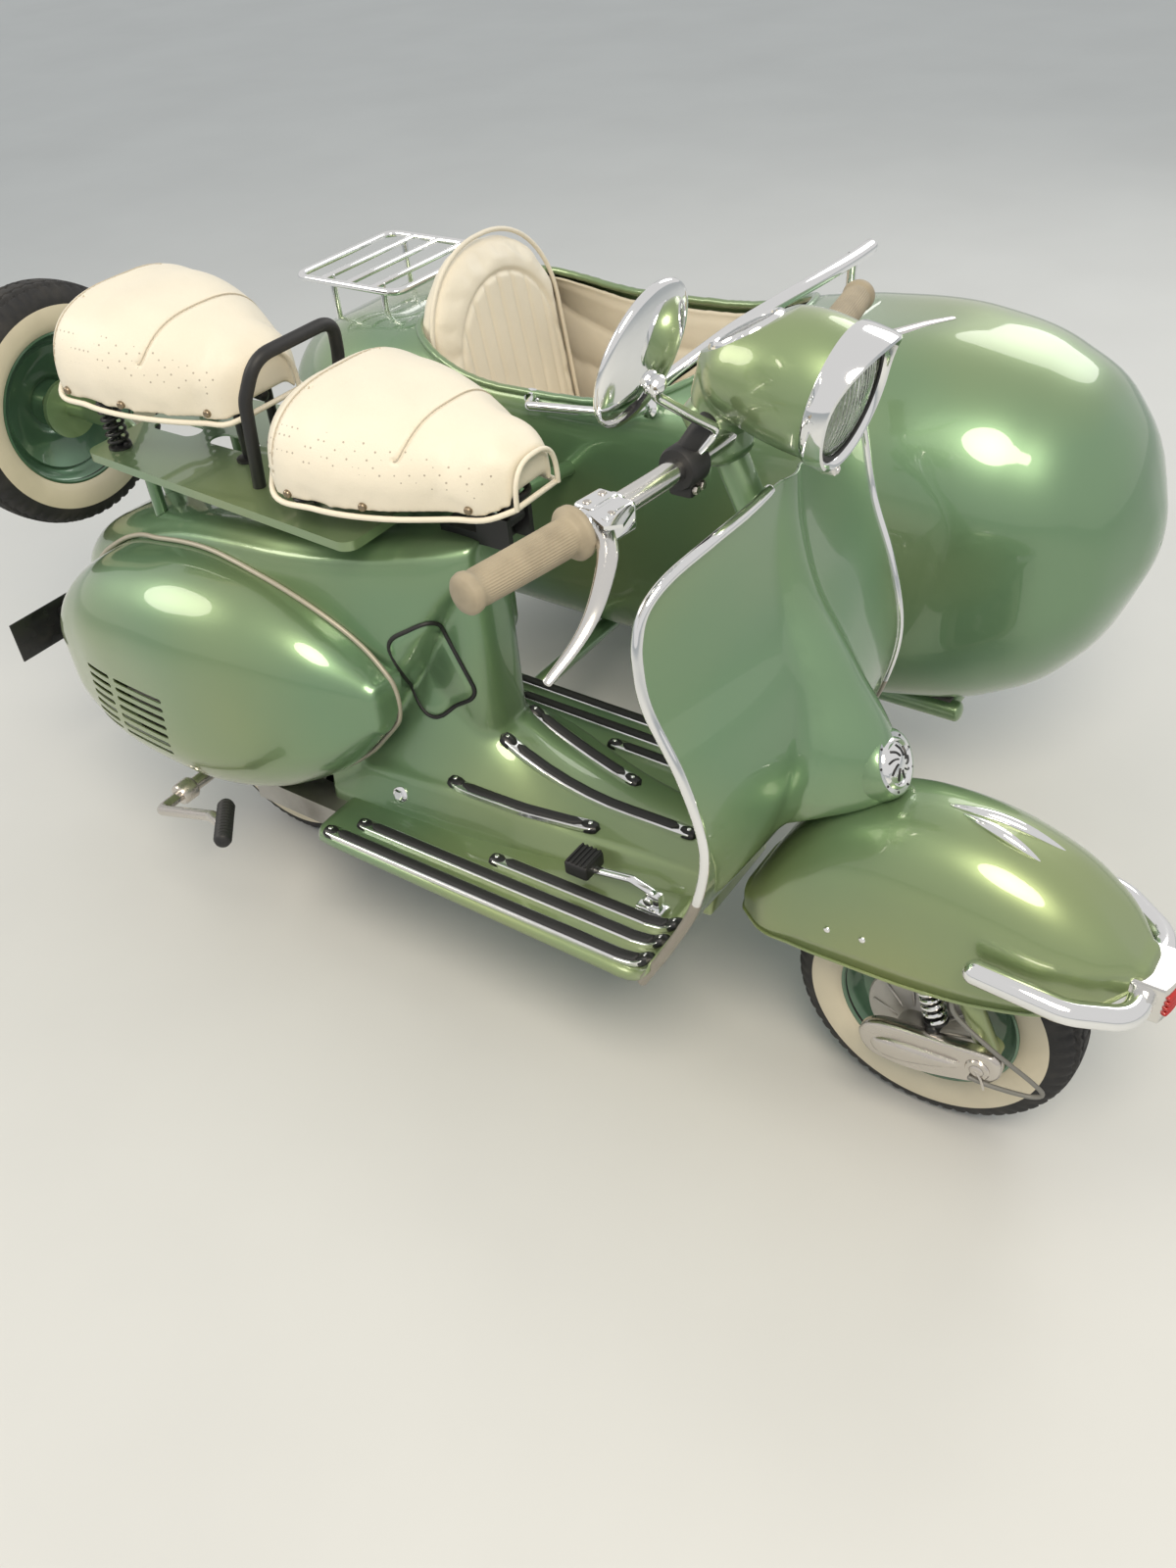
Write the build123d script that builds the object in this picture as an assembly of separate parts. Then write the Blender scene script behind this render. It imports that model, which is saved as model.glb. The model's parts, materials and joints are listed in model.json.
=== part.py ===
from build123d import *
from functools import cache
import math
import os

os.makedirs("parts", exist_ok=True)

# Motor scooter with a one-seat sidecar, in millimetres.
# X runs forward from the rear axle, Y to the rider's left, Z up from the ground.
# The finished solids are moved by MODEL_SHIFT, so that the origin is below the middle of the outfit.
MODEL_SHIFT = (-493.0, -314.0, 0.0)

# Running gear
WHEELBASE = 1156.0
TYRE_RADIUS = 188.0
TYRE_WIDTH = 92.0
RIM_RADIUS = 112.0
RIM_WIDTH = 70.0
HUB_RADIUS = 46.0
AXLE_RADIUS = 12.0
SHAFT_PLAY = 0.3
SIDECAR_WHEEL_X = 130.0
SIDECAR_WHEEL_Y = 968.0

# Steering head, seen from the side
STEERING_RAKE = 25.0
HEAD_BASE_X = 1262.0
HEAD_LOW_Z = 500.0
HEAD_TOP_Z = 876.0
COLUMN_RADIUS = 19.0
HEAD_TUBE_RADIUS = 28.0

# Sheet thickness
BODY_WALL = 4.0
SHIELD_WALL = 4.0
HULL_WALL = 5.0
SHEET = 3.0
SEAT_PLAY = 0.3

# Floor and tunnel
FLOOR_TOP = 268.0
FLOOR_HALF_WIDTH = 237.0
FLOOR_REAR = 282.0
FLOOR_FRONT = 864.0

# Handlebar
BAR_HEIGHT = 902.0
BAR_X = 858.0
BAR_END_X = 813.0
BAR_HALF = 397.0
BAR_RADIUS = 12.5
GRIP_LENGTH = 135.0
GRIP_RADIUS = 18.0
LAMP_X = 985.0
LAMP_Z = 960.0
LAMP_RADIUS = 73.0
LAMP_DIP = 12.0
MIRROR_RADIUS = 70.0

# Sidecar
CAR_Y = 645.0
CAR_HALF_WIDTH = 244.0
CAR_FLOOR_Z = 262.0


def axis_x(z):
    """Place of the steering axis at a height."""
    return HEAD_BASE_X - z * math.tan(math.radians(STEERING_RAKE))



def box(low, high):
    """Box between two opposite corners."""
    size = [b - a for a, b in zip(low, high)]
    return Pos(*low) * Box(*size, align=(Align.MIN, Align.MIN, Align.MIN))


def rod(start, end, radius, tip_radius=None):
    """Round bar from one point to another, tapered when a tip radius is given."""
    direction = Vector(*end) - Vector(*start)
    foot = Plane(origin=start, z_dir=direction)
    if tip_radius is None:
        return extrude(foot * Circle(radius), direction.length)
    return loft([foot * Circle(radius), foot.offset(direction.length) * Circle(tip_radius)])


def tube(points, bend, radius, bore=0.0):
    """Bent round tube along straight runs joined by arcs."""
    path = FilletPolyline(*points, radius=bend)
    foot = Plane(origin=path @ 0, z_dir=path % 0)
    outside = sweep(foot * Circle(radius), path)
    if not bore:
        return outside
    return outside - sweep(foot * Circle(bore), path)


def rounded(half_width, low, high, shoulder, foot, middle=0.0):
    """Closed outline with straight sides, upper corners of one radius and lower corners of another."""
    corners = [
        (half_width, low, foot, 1, 1, -90),
        (half_width, high, shoulder, 1, -1, 0),
        (-half_width, high, shoulder, -1, -1, 90),
        (-half_width, low, foot, -1, 1, 180),
    ]
    arcs = [
        CenterArc((middle + u - side * radius, v + rise * radius), radius, start, 90)
        for u, v, radius, side, rise, start in corners
    ]
    lines = [Line(a @ 1, b @ 0) for a, b in zip(arcs, arcs[1:] + arcs[:1])]
    return make_face(Wire([edge for pair in zip(arcs, lines) for edge in pair]))


def lofted(rows, inset=0.0, middle=0.0, ruled=False):
    """Smooth body through rounded outlines across X, each row x, half width, low, high, shoulder, foot."""
    faces = []
    for index, (x, half_width, low, high, shoulder, foot) in enumerate(rows):
        station = x
        if index == 0:
            station = x + math.copysign(inset, rows[1][0] - x)
        if index == len(rows) - 1:
            station = x - math.copysign(inset, x - rows[-2][0])
        outline = rounded(half_width - inset, low + inset, high - inset, shoulder - inset, foot - inset, middle)
        faces.append(Plane.YZ.offset(station) * outline)
    return loft(faces, ruled=ruled)


# Front shield with the ridge over the steering column
SHIELD_HALF = 262.0
# height, place of the side edge, how far the middle stands forward of it
SHIELD_ROWS = [
    (266.0, 857.0, 2.0),
    (366.0, 908.0, 8.0),
    (457.0, 946.0, 22.0),
    (540.0, 960.0, 32.0),
    (640.0, 939.0, 36.0),
    (720.0, 908.0, 34.0),
    (800.0, 893.0, 34.0),
    (896.0, 893.0, 36.0),
]
SHIELD_TOP = 868.0
SHIELD_NECK_HALF = 44.0
SHIELD_LOW_HALF = 236.0
SHIELD_CORNER = 30.0
# Half of the shield's edge from the floor to the neck: half width, height, bend of the trim beside it
SHIELD_EDGE = [
    (SHIELD_LOW_HALF, FLOOR_TOP, 0),
    (SHIELD_HALF - 17, 385, SHIELD_CORNER),
    (SHIELD_HALF - 13, 500, 120),
    (SHIELD_HALF - 8, 620, 120),
    (SHIELD_HALF, 730, 120),
    (SHIELD_HALF - 4, 788, SHIELD_CORNER),
    (SHIELD_HALF - 24, 828, SHIELD_CORNER),
    (SHIELD_HALF - 62, SHIELD_TOP - 20, SHIELD_CORNER),
    (SHIELD_HALF - 120, SHIELD_TOP - 11, 120),
    (SHIELD_NECK_HALF, SHIELD_TOP, 0),
]


def shield_band(z, edge, crown, half, thickness):
    """Level slice through the shield, an arc band whose middle stands forward."""
    front = ThreePointArc((edge, -half), (edge + crown, 0), (edge, half))
    back = ThreePointArc((edge - thickness, half), (edge - thickness + crown, 0), (edge - thickness, -half))
    sides = [Line(front @ 1, back @ 0), Line(back @ 1, front @ 0)]
    return Plane.XY.offset(z) * make_face(Wire([front, sides[0], back, sides[1]]))


def shield_outline():
    """Front view of the shield as a flat face, looking along X."""
    points = [(y, z) for y, z, _ in SHIELD_EDGE]
    right = [(-y, z) for y, z in reversed(points)]
    face = make_face(Polyline(*points, *right, close=True))
    corners = [v for v in face.vertices() if v.Y > FLOOR_TOP + 1 and abs(v.X) > SHIELD_NECK_HALF + 1]
    return fillet(corners, SHIELD_CORNER)


@cache
def leg_shield():
    sheet = loft([shield_band(z, x, crown, SHIELD_HALF, SHIELD_WALL) for z, x, crown in SHIELD_ROWS])
    cutter = extrude(Plane.YZ.offset(700) * shield_outline(), 500)
    sheet = sheet & cutter
    head = rod((axis_x(HEAD_LOW_Z), 0, HEAD_LOW_Z), (axis_x(HEAD_TOP_Z), 0, HEAD_TOP_Z), HEAD_TUBE_RADIUS)
    ridge_faces = []
    # height, half width of the ridge, how far it stands in front of the shield
    for z, half, reach in [(500, 62, 96), (560, 54, 66), (660, 38, 34), (780, 26, 12)]:
        x = shield_front(z)
        plane = Plane.XY.offset(z)
        outline = Ellipse(reach + 30, half)
        ridge_faces.append(plane * Pos(x - 30, 0) * outline)
    ridge = loft(ridge_faces)
    behind = loft([shield_band(z, x - SHIELD_WALL, crown, 150, 320) for z, x, crown in SHIELD_ROWS])
    ridge = ridge - behind
    bore = rod((axis_x(380), 0, 380), (axis_x(960), 0, 960), COLUMN_RADIUS + SHAFT_PLAY)
    solid = sheet + ridge + head + (horn_boss() - behind)
    return solid - bore - extrude(horn_plane(-8) * Circle(HORN_RADIUS), 40)


def shield_front(z):
    """Middle of the shield's front face at a height."""
    rows = SHIELD_ROWS
    for (z0, x0, c0), (z1, x1, c1) in zip(rows, rows[1:]):
        if z0 <= z <= z1:
            t = (z - z0) / (z1 - z0)
            return x0 + c0 + t * (x1 + c1 - x0 - c0)
    return rows[-1][1] + rows[-1][2]


# Rear body: a shell over the rear wheel, with a neck down to the floor tunnel
# x, half width, low edge, deck height, shoulder radius, lower corner radius
BODY_ROWS = [
    (-352, 52, 372, 470, 40, 20),
    (-290, 92, 335, 528, 62, 24),
    (-180, 122, 300, 592, 72, 26),
    (-40, 136, 280, 640, 66, 26),
    (130, 140, 274, 668, 58, 26),
    (250, 138, 272, 684, 52, 26),
    (330, 126, 380, 690, 48, 40),
    (410, 100, 520, 694, 44, 40),
    (470, 72, 610, 696, 38, 34),
    (502, 46, 650, 694, 20, 18),
]
# height, rear end, front end, half width, corner radius of the neck and tunnel root
NECK_ROWS = [
    (690, 300, 500, 50, 38),
    (650, 290, 462, 60, 48),
    (600, 280, 428, 72, 60),
    (520, 270, 426, 80, 68),
    (450, 262, 440, 88, 74),
    (400, 255, 452, 96, 76),
    (360, 250, 474, 106, 70),
    (330, 245, 515, 116, 60),
]
# x, half width, height of the tunnel top
TUNNEL_ROWS = [(245, 128, 346), (480, 118, 340), (600, 104, 328), (720, 90, 312), (853, 72, 298)]
BODY_LOW = 334.0
WHEEL_WELL_HALF = 70.0
WHEEL_WELL_RADIUS = 222.0
ENGINE_BAY = ((-150, -200, 168), (212, -WHEEL_WELL_HALF + 2, 505))


@cache
def rear_body():
    outer = lofted(BODY_ROWS)
    inner = lofted(BODY_ROWS, BODY_WALL)
    neck = loft([neck_slice(row, 0) for row in NECK_ROWS])
    neck_core = loft([neck_slice(row, BODY_WALL) for row in NECK_ROWS])
    body = (outer + neck) - inner - neck_core
    well = extrude(Plane.XZ.offset(-WHEEL_WELL_HALF) * Pos(0, TYRE_RADIUS) * Circle(WHEEL_WELL_RADIUS), 2 * WHEEL_WELL_HALF)
    under = box((-400, -300, 100), (600, 300, BODY_LOW))
    flank_cut = box(*ENGINE_BAY)
    return body - well - under - flank_cut


@cache
def body_space():
    """Space that the rear body takes, filled."""
    return lofted(BODY_ROWS) + loft([neck_slice(row, 0) for row in NECK_ROWS])


def neck_slice(row, inset):
    z, rear, front, half, corner = row
    size = RectangleRounded(front - rear - 2 * inset, 2 * (half - inset), corner - inset)
    return Plane.XY.offset(z) * Pos((front + rear) / 2, 0) * size


# Floor pan with its tunnel
FLOOR_LIP = 12.0
TUNNEL_SHOULDER = 34.0


def tunnel_slice(row, inset):
    x, half, top = row
    outline = rounded(half - inset, FLOOR_TOP - 30, top - inset, TUNNEL_SHOULDER - inset, 4)
    return Plane.YZ.offset(x) * outline


@cache
def tunnel_space():
    """Tunnel as a filled body."""
    return loft([tunnel_slice(row, 0) for row in TUNNEL_ROWS], ruled=True)


def floor_pan():
    plate = RectangleRounded(FLOOR_FRONT - FLOOR_REAR, 2 * FLOOR_HALF_WIDTH, 24)
    plan = Pos((FLOOR_FRONT + FLOOR_REAR) / 2, 0)
    pan = Pos(0, 0, FLOOR_TOP - FLOOR_LIP) * extrude(plan * plate, FLOOR_LIP)
    inner = RectangleRounded(FLOOR_FRONT - FLOOR_REAR - 2 * SHEET, 2 * (FLOOR_HALF_WIDTH - SHEET), 21)
    pan -= Pos(0, 0, FLOOR_TOP - FLOOR_LIP) * extrude(plan * inner, FLOOR_LIP - SHEET)
    core = loft([tunnel_slice(row, SHEET) for row in TUNNEL_ROWS], ruled=True)
    above = box((0, -400, FLOOR_TOP - SHEET), (1000, 400, 500))
    pan = (pan + (tunnel_space() & above)) - core
    return pan - body_space() - box((0, -300, BODY_LOW), (430, 300, 600))


# Aluminium runners with rubber strips
RUNNER_WIDTH = 22.0
RUNNER_HEIGHT = 8.0
RUBBER_WIDTH = 13.0
RUNNER_CAP = 18.0
# rear x, rear y, front x, front y, of the floor runners on the right
FLOOR_RUNNERS = [(303, 222, 838, 214), (337, 186, 838, 178), (553, 150, 828, 146)]
# the same, of the runners on the tunnel, and how deep their foot is let into its slope
TUNNEL_RUNNERS = [(486, -88, 678, -72), (520, 0, 800, 0), (486, 88, 663, 60)]
RUNNER_FOOT = 2.5


def tunnel_top(x):
    """Height of the tunnel's top at a place along it, between the nearest rows."""
    for (x0, _, z0), (x1, _, z1) in zip(TUNNEL_ROWS, TUNNEL_ROWS[1:]):
        if x0 <= x <= x1:
            return z0 + (z1 - z0) * (x - x0) / (x1 - x0)


def runner_plane(row):
    """Plane at the runner's rear end, with its x axis along the runner."""
    x0, y0, x1, y1, z0, z1 = row
    along = Vector(x1 - x0, y1 - y0, z1 - z0)
    side = Vector(0, 0, 1).cross(along)
    return Plane(origin=(x0, y0, z0), x_dir=along, z_dir=along.cross(side)), along.length


def runner_rows():
    """Ends and heights of each runner, and how deep its foot reaches."""
    level = [(x0, side * y0, x1, side * y1, FLOOR_TOP, FLOOR_TOP)
             for side in (-1, 1) for x0, y0, x1, y1 in FLOOR_RUNNERS]
    sloping = [(x0, y0, x1, y1, tunnel_top(x0), tunnel_top(x1)) for x0, y0, x1, y1 in TUNNEL_RUNNERS]
    return [(row, 0.0) for row in level] + [(row, RUNNER_FOOT) for row in sloping]


def runner(row, foot):
    """One channel and its rubber strip, the channel's foot shaped to what it stands on."""
    plane, length = runner_plane(row)
    slot = plane.offset(-foot) * Pos(length / 2, 0) * SlotOverall(length, RUNNER_WIDTH)
    channel = extrude(slot, RUNNER_HEIGHT + foot)
    if foot:
        channel = channel - tunnel_space() - body_space()
    middle = plane.offset(RUNNER_HEIGHT / 2) * Pos(length / 2, 0)
    groove_face = middle * Rectangle(length - 2 * RUNNER_CAP, RUBBER_WIDTH)
    groove = extrude(groove_face, RUNNER_HEIGHT)
    strip = extrude(groove_face, RUNNER_HEIGHT / 2 + 2)
    return channel - groove, strip


def floor_runners():
    return Compound(children=[solid for row, foot in runner_rows() for solid in runner(row, foot)[0].solids()])


def runner_rubbers():
    return Compound(children=[solid for row, foot in runner_rows() for solid in runner(row, foot)[1].solids()])


# Engine covers
# x, outer reach in Y, low edge, top edge
COWL_ROWS = [
    (-272, 172, 372, 440),
    (-230, 210, 322, 500),
    (-130, 250, 272, 580),
    (10, 268, 254, 622),
    (130, 266, 262, 630),
    (240, 244, 300, 612),
    (330, 206, 362, 562),
    (384, 166, 424, 508),
]
COWL_PLAY = 0.8
COWL_LOUVRES = 7
LOUVRE_PITCH = 17.0
LOUVRE_GAP = 8.0
LOUVRE_TOP = 452.0
LOUVRE_FRONT = 70.0
LOUVRE_REAR = -110.0
LOUVRE_DIVIDER = 8.0


@cache
def cowl_seat(low, high, x):
    """How far the body reaches across beside a station of the cover, with the cover's play."""
    slab = box((x - 1, 0, low), (x + 1, SHIELD_HALF, high))
    return (body_space() & slab).bounding_box().max.Y + COWL_PLAY


def cowl_slice(row, inset, station):
    """Section of the cover; an inset one reaches past the open side."""
    x, reach, low, high = row
    inner = 8 * inset - cowl_seat(low, high, x)
    outer = inset - reach
    radius = min(reach - cowl_seat(low, high, x), (high - low) / 2 - inset) * 0.92
    low, high = low + inset, high - inset
    lower = CenterArc((outer + radius, low + radius), radius, 180, 90)
    upper = CenterArc((outer + radius, high - radius), radius, 90, 90)
    inner_side = Polyline(lower @ 1, (inner, low), (inner, high), upper @ 0)
    edges = [upper, Line(upper @ 1, lower @ 0), lower, *inner_side.edges()]
    return Plane.YZ.offset(station) * make_face(Wire(edges))


@cache
def cowl_space():
    """Space inside the right cover's outer skin."""
    return loft([cowl_slice(row, 0, row[0]) for row in COWL_ROWS])


@cache
def cowl_shell():
    stations = [row[0] for row in COWL_ROWS]
    stations[0] += SHEET
    stations[-1] -= SHEET
    core = loft([cowl_slice(row, SHEET, station) for row, station in zip(COWL_ROWS, stations)])
    shell = cowl_space() - core
    return max(shell.solids(), key=lambda solid: solid.volume)


def engine_cowl():
    shell = cowl_shell()
    for index in range(COWL_LOUVRES):
        z = LOUVRE_TOP - index * LOUVRE_PITCH
        shift = -3.0 * index
        middle = LOUVRE_REAR + 62
        shell -= box((middle + LOUVRE_DIVIDER + shift, -300, z - LOUVRE_GAP), (LOUVRE_FRONT + shift, -200, z))
        shell -= box((LOUVRE_REAR + shift, -300, z - LOUVRE_GAP), (middle + shift, -200, z))
    return shell


def left_cowl():
    return mirror(cowl_shell(), Plane.XZ)


# Engine block behind the right cover, with the axle stub of the rear wheel
ENGINE_LOW = (-120.0, -128.0, 205.0)
ENGINE_SIDE = -212.0
ENGINE_STEP_Z = 340.0
ENGINE_HIGH = (170.0, -78.0, 420.0)
DRUM_RADIUS = 74.0


@cache
def engine():
    low = box(ENGINE_LOW, (ENGINE_HIGH[0], ENGINE_HIGH[1], ENGINE_STEP_Z))
    low = fillet(low.edges().filter_by(Axis.Y), 24)
    high = box((ENGINE_LOW[0] + 20, ENGINE_SIDE, ENGINE_STEP_Z - 40), ENGINE_HIGH)
    block = low + fillet(high.edges().filter_by(Axis.Y), 18)
    stub = rod((0, -79, TYRE_RADIUS), (0, RIM_WIDTH / 2 + 6, TYRE_RADIUS), AXLE_RADIUS)
    drum = rod((0, -80, TYRE_RADIUS), (0, -RIM_WIDTH / 2 - 16, TYRE_RADIUS), DRUM_RADIUS)
    swing_arm = box((100, -175, 215), (300, -125, FLOOR_TOP - FLOOR_LIP - SEAT_PLAY))
    return block + stub + drum + swing_arm


def wheel_profile_rim():
    """Half section of a two-piece pressed rim with its hub, radius along the first axis, width along the second."""
    half = RIM_WIDTH / 2
    points = [
        (AXLE_RADIUS + SHAFT_PLAY, -half + 4), (HUB_RADIUS, -half + 4), (HUB_RADIUS + 8, -10), (RIM_RADIUS - 22, -16),
        (RIM_RADIUS - 16, -half), (RIM_RADIUS, -half), (RIM_RADIUS, half), (RIM_RADIUS - 16, half),
        (RIM_RADIUS - 22, 0), (HUB_RADIUS + 8, 4), (HUB_RADIUS, half - 4), (AXLE_RADIUS + SHAFT_PLAY, half - 4),
    ]
    return make_face(Polyline(*points, close=True))


def spun(face, x, y, z):
    """Wheel part turned about the Y axis through a point."""
    flat = Plane(origin=(0, 0, 0), x_dir=(1, 0, 0), z_dir=(0, 0, 1)) * face
    return Pos(x, y, z) * revolve(flat, Axis.Y)


def rim(x, y, z=TYRE_RADIUS):
    return spun(wheel_profile_rim(), x, y, z)


def tyre(x, y, z=TYRE_RADIUS):
    half = TYRE_WIDTH / 2
    bead = RIM_WIDTH / 2 - 3
    inside = RIM_RADIUS
    shoulder = TYRE_RADIUS - 14
    points = Polyline(
        (inside, -bead), (inside + 14, -half + 6), (inside + 40, -half), (shoulder, -half + 8), (TYRE_RADIUS, -18),
        (TYRE_RADIUS, 18), (shoulder, half - 8), (inside + 40, half), (inside + 14, half - 6), (inside, bead), close=True)
    return spun(make_face(points), x, y, z)


# Steering parts
def bar_point(y):
    """Middle of the handlebar tube at a place across the scooter."""
    share = abs(y) / BAR_HALF
    return (BAR_X - (BAR_X - BAR_END_X) * share ** 1.6, y, BAR_HEIGHT + 4 * share)


FORK_Y = -72.0
FORK_RADIUS = 14.0
FORK_BEND_Z = 412.0
LINK_PIVOT = (1247.0, FORK_Y, 205.0)
LINK_INNER = -88.0
LINK_OUTER = -104.0
PIVOT_RADIUS = 14.0


@cache
def steering_column():
    top = (axis_x(BAR_HEIGHT + 8), 0, BAR_HEIGHT + 8)
    elbow = (axis_x(FORK_BEND_Z), 0, FORK_BEND_Z)
    points = [top, elbow, (1154, FORK_Y, 382), (1220, FORK_Y, 270), (LINK_PIVOT[0], FORK_Y, LINK_PIVOT[2] + 4)]
    column = tube(points, [30, 34, 40], FORK_RADIUS)
    stem = rod((axis_x(430), 0, 430), top, COLUMN_RADIUS)
    pivot = rod((LINK_PIVOT[0], LINK_INNER + SEAT_PLAY, LINK_PIVOT[2]), (LINK_PIVOT[0], FORK_Y + 14, LINK_PIVOT[2]), PIVOT_RADIUS)
    spring_lug = rod((1160, FORK_Y, 352), (SPRING_TOP[0], FORK_Y, SPRING_TOP[2] + 6), 9)
    return column + stem + pivot + spring_lug


@cache
def handlebar():
    points = [bar_point(y) for y in (-BAR_HALF + 4, -250, -110, 0, 110, 250, BAR_HALF - 4)]
    bar = tube(points[:3] + points[4:], 90, BAR_RADIUS)
    clamp = rod((axis_x(HEAD_TOP_Z + 3), 0, HEAD_TOP_Z + 3), (axis_x(BAR_HEIGHT + 26), 0, BAR_HEIGHT + 26), 34)
    bore = rod((axis_x(HEAD_TOP_Z - 20), 0, HEAD_TOP_Z - 20), (axis_x(BAR_HEIGHT + 8), 0, BAR_HEIGHT + 8), COLUMN_RADIUS)
    return bar + clamp - bore


def hand_grips():
    bar = handlebar()
    grips = []
    for side in (-1, 1):
        y0, y1 = side * (BAR_HALF - GRIP_LENGTH), side * BAR_HALF
        start, end = bar_point(y0), bar_point(y1)
        grip = rod(start, end, GRIP_RADIUS)
        flange = rod(start, bar_point(side * (BAR_HALF - GRIP_LENGTH + 8)), GRIP_RADIUS + 9)
        grips += (grip + flange - bar).solids()
    return Compound(children=grips)


# Headlamp on the handlebar
LAMP_RIM_DEPTH = 24.0
LAMP_LENS_RADIUS = 62.0
# distance behind the rim, radius, drop below the lamp's axis
POD_ROWS = [(0, 66, 0), (-40, 69, 0), (-85, 62, 4), (-125, 44, 10), (-150, 18, 14)]


def lamp_plane(offset=0.0):
    """Plane across the lamp's axis, facing forward."""
    dip = math.radians(LAMP_DIP)
    plane = Plane(origin=(LAMP_X, 0, LAMP_Z), x_dir=(0, 1, 0), z_dir=(math.cos(dip), 0, -math.sin(dip)))
    return plane.offset(offset)


def lamp_pod():
    faces = [lamp_plane(s - LAMP_RIM_DEPTH / 2) * Pos(0, -drop) * Circle(radius) for s, radius, drop in POD_ROWS]
    pod = loft(faces)
    neck = rod((axis_x(915) + 6, 0, 915), (axis_x(915) + 44, 0, 965), 27, 34)
    return pod + neck - handlebar() - steering_column()


def lamp_rim():
    ring = extrude(lamp_plane(-LAMP_RIM_DEPTH / 2) * Circle(LAMP_RADIUS), LAMP_RIM_DEPTH)
    return ring - extrude(lamp_plane(-LAMP_RIM_DEPTH / 2) * Circle(LAMP_LENS_RADIUS), LAMP_RIM_DEPTH)


LENS_CROWN = 14.0


def lamp_lens():
    """Domed glass seated in the rim."""
    ball_radius = (LAMP_LENS_RADIUS ** 2 + LENS_CROWN ** 2) / (2 * LENS_CROWN)
    ball = lamp_plane(LENS_CROWN - ball_radius).location * Sphere(ball_radius)
    return ball & extrude(lamp_plane(-8) * Circle(LAMP_LENS_RADIUS), 60)


# Brake and clutch levers: points of the blade from its perch, for the rider's right and left
LEVER_PATHS = [
    [(845, -236, 914), (872, -262, 898), (896, -318, 872), (886, -388, 830)],
    [(845, 236, 914), (878, 264, 906), (910, 322, 904), (938, 388, 899)],
]
LEVER_WIDTH = 17.0
LEVER_THICKNESS = 7.0
LEVER_BALL = 10.0
PERCH_Y = 232.0
PERCH_SIZE = (44.0, 44.0, 36.0)


@cache
def lever_perches():
    blocks = []
    for side in (-1, 1):
        block = Pos(*bar_point(side * PERCH_Y)) * Box(*PERCH_SIZE)
        blocks.append(fillet(block.edges().filter_by(Axis.Y), 9))
    return blocks[0] + blocks[1]


def lever_blade(points):
    """Flat blade that lies level along its path, with a ball at its tip."""
    path = FilletPolyline(*points, radius=[16, 20])
    along = path % 0
    across = Vector(0, 0, 1).cross(along)
    foot = Plane(origin=path @ 0, x_dir=across, z_dir=along)
    blade = sweep(foot * RectangleRounded(LEVER_WIDTH, LEVER_THICKNESS, 2.5), path)
    return blade + Pos(*points[-1]) * Sphere(LEVER_BALL)


def brake_levers():
    """Each lever with the perch that carries it."""
    levers = lever_perches() - handlebar()
    for points in LEVER_PATHS:
        levers += lever_blade(points) - handlebar()
    return Compound(children=levers.solids())


MIRROR_CENTRE = (859.0, -170.0, 1046.0)
MIRROR_TILT = 18.0
MIRROR_DEPTH = 16.0


def mirror_glass():
    tilt = math.radians(MIRROR_TILT)
    plane = Plane(origin=MIRROR_CENTRE, x_dir=(0, 1, 0), z_dir=(math.cos(tilt), 0, -math.sin(tilt)))
    shell = loft([plane.offset(s) * Circle(r) for s, r in ((0, MIRROR_RADIUS), (7, MIRROR_RADIUS - 3), (MIRROR_DEPTH, 26))], ruled=True)
    clamp = Pos(859, -90, 902) * Rot(90, 0, 0) * Cylinder(20, 26)
    stalk = tube([(862, -90, 912), (888, -76, 942), (868, -124, 968), (864, -166, 1006)], [14, 22], 5)
    ball = Pos(864, -168, 1006) * Sphere(11)
    return shell + stalk + ball + clamp - handlebar()


# Front mudguard, turning with the fork
# x, half width, low edge, crown height, shoulder radius, lower corner radius
MUDGUARD_ROWS = [
    (905, 58, 262, 306, 20, 8),
    (932, 78, 264, 362, 60, 8),
    (990, 87, 268, 448, 78, 8),
    (1070, 91, 274, 488, 84, 8),
    (1155, 93, 282, 498, 88, 8),
    (1240, 90, 296, 484, 84, 8),
    (1315, 78, 318, 448, 66, 8),
    (1360, 54, 338, 408, 32, 8),
    (1382, 30, 352, 384, 12, 8),
]


def front_mudguard():
    outer = lofted(MUDGUARD_ROWS)
    core_rows = [(x, half, low - 30, high, shoulder, 8) for x, half, low, high, shoulder, foot in MUDGUARD_ROWS]
    inner = lofted(core_rows, SHEET)
    return outer - inner - steering_column()


@cache
def mudguard_space():
    return lofted(MUDGUARD_ROWS)


def mudguard_crest():
    """Two slim blades joined at the front, on the crown of the mudguard."""
    blades = make_face(Polyline((1150, -17), (1262, -4), (1278, 0), (1262, 4), (1150, 17), (1158, 9), (1240, 0),
                                (1158, -9), close=True))
    crest = Pos(0, 0, 470) * extrude(blades, 40)
    roof = lofted([(x, half, low, high + 9, shoulder, foot) for x, half, low, high, shoulder, foot in MUDGUARD_ROWS])
    return (crest & roof) - mudguard_space()


BUMPER_POINTS = [(1228, -112, 372), (1330, -106, 358), (1392, -70, 346), (1402, 0, 345), (1392, 70, 346), (1330, 106, 358),
                 (1228, 112, 372)]
BUMPER_RADIUS = 15.0
BUMPER_BLOCK = ((1382.3, -34, 318), (1424, 34, 370))


def bumper():
    path = BUMPER_POINTS[:3] + BUMPER_POINTS[4:]
    bar = tube(path, [60, 44, 44, 60], BUMPER_RADIUS)
    ends = Pos(*BUMPER_POINTS[0]) * Sphere(BUMPER_RADIUS) + Pos(*BUMPER_POINTS[-1]) * Sphere(BUMPER_RADIUS)
    block = box(*BUMPER_BLOCK)
    block = fillet(block.edges().filter_by(Axis.Z), 10)
    return bar + ends + block - bumper_insert() - mudguard_space()


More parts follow.
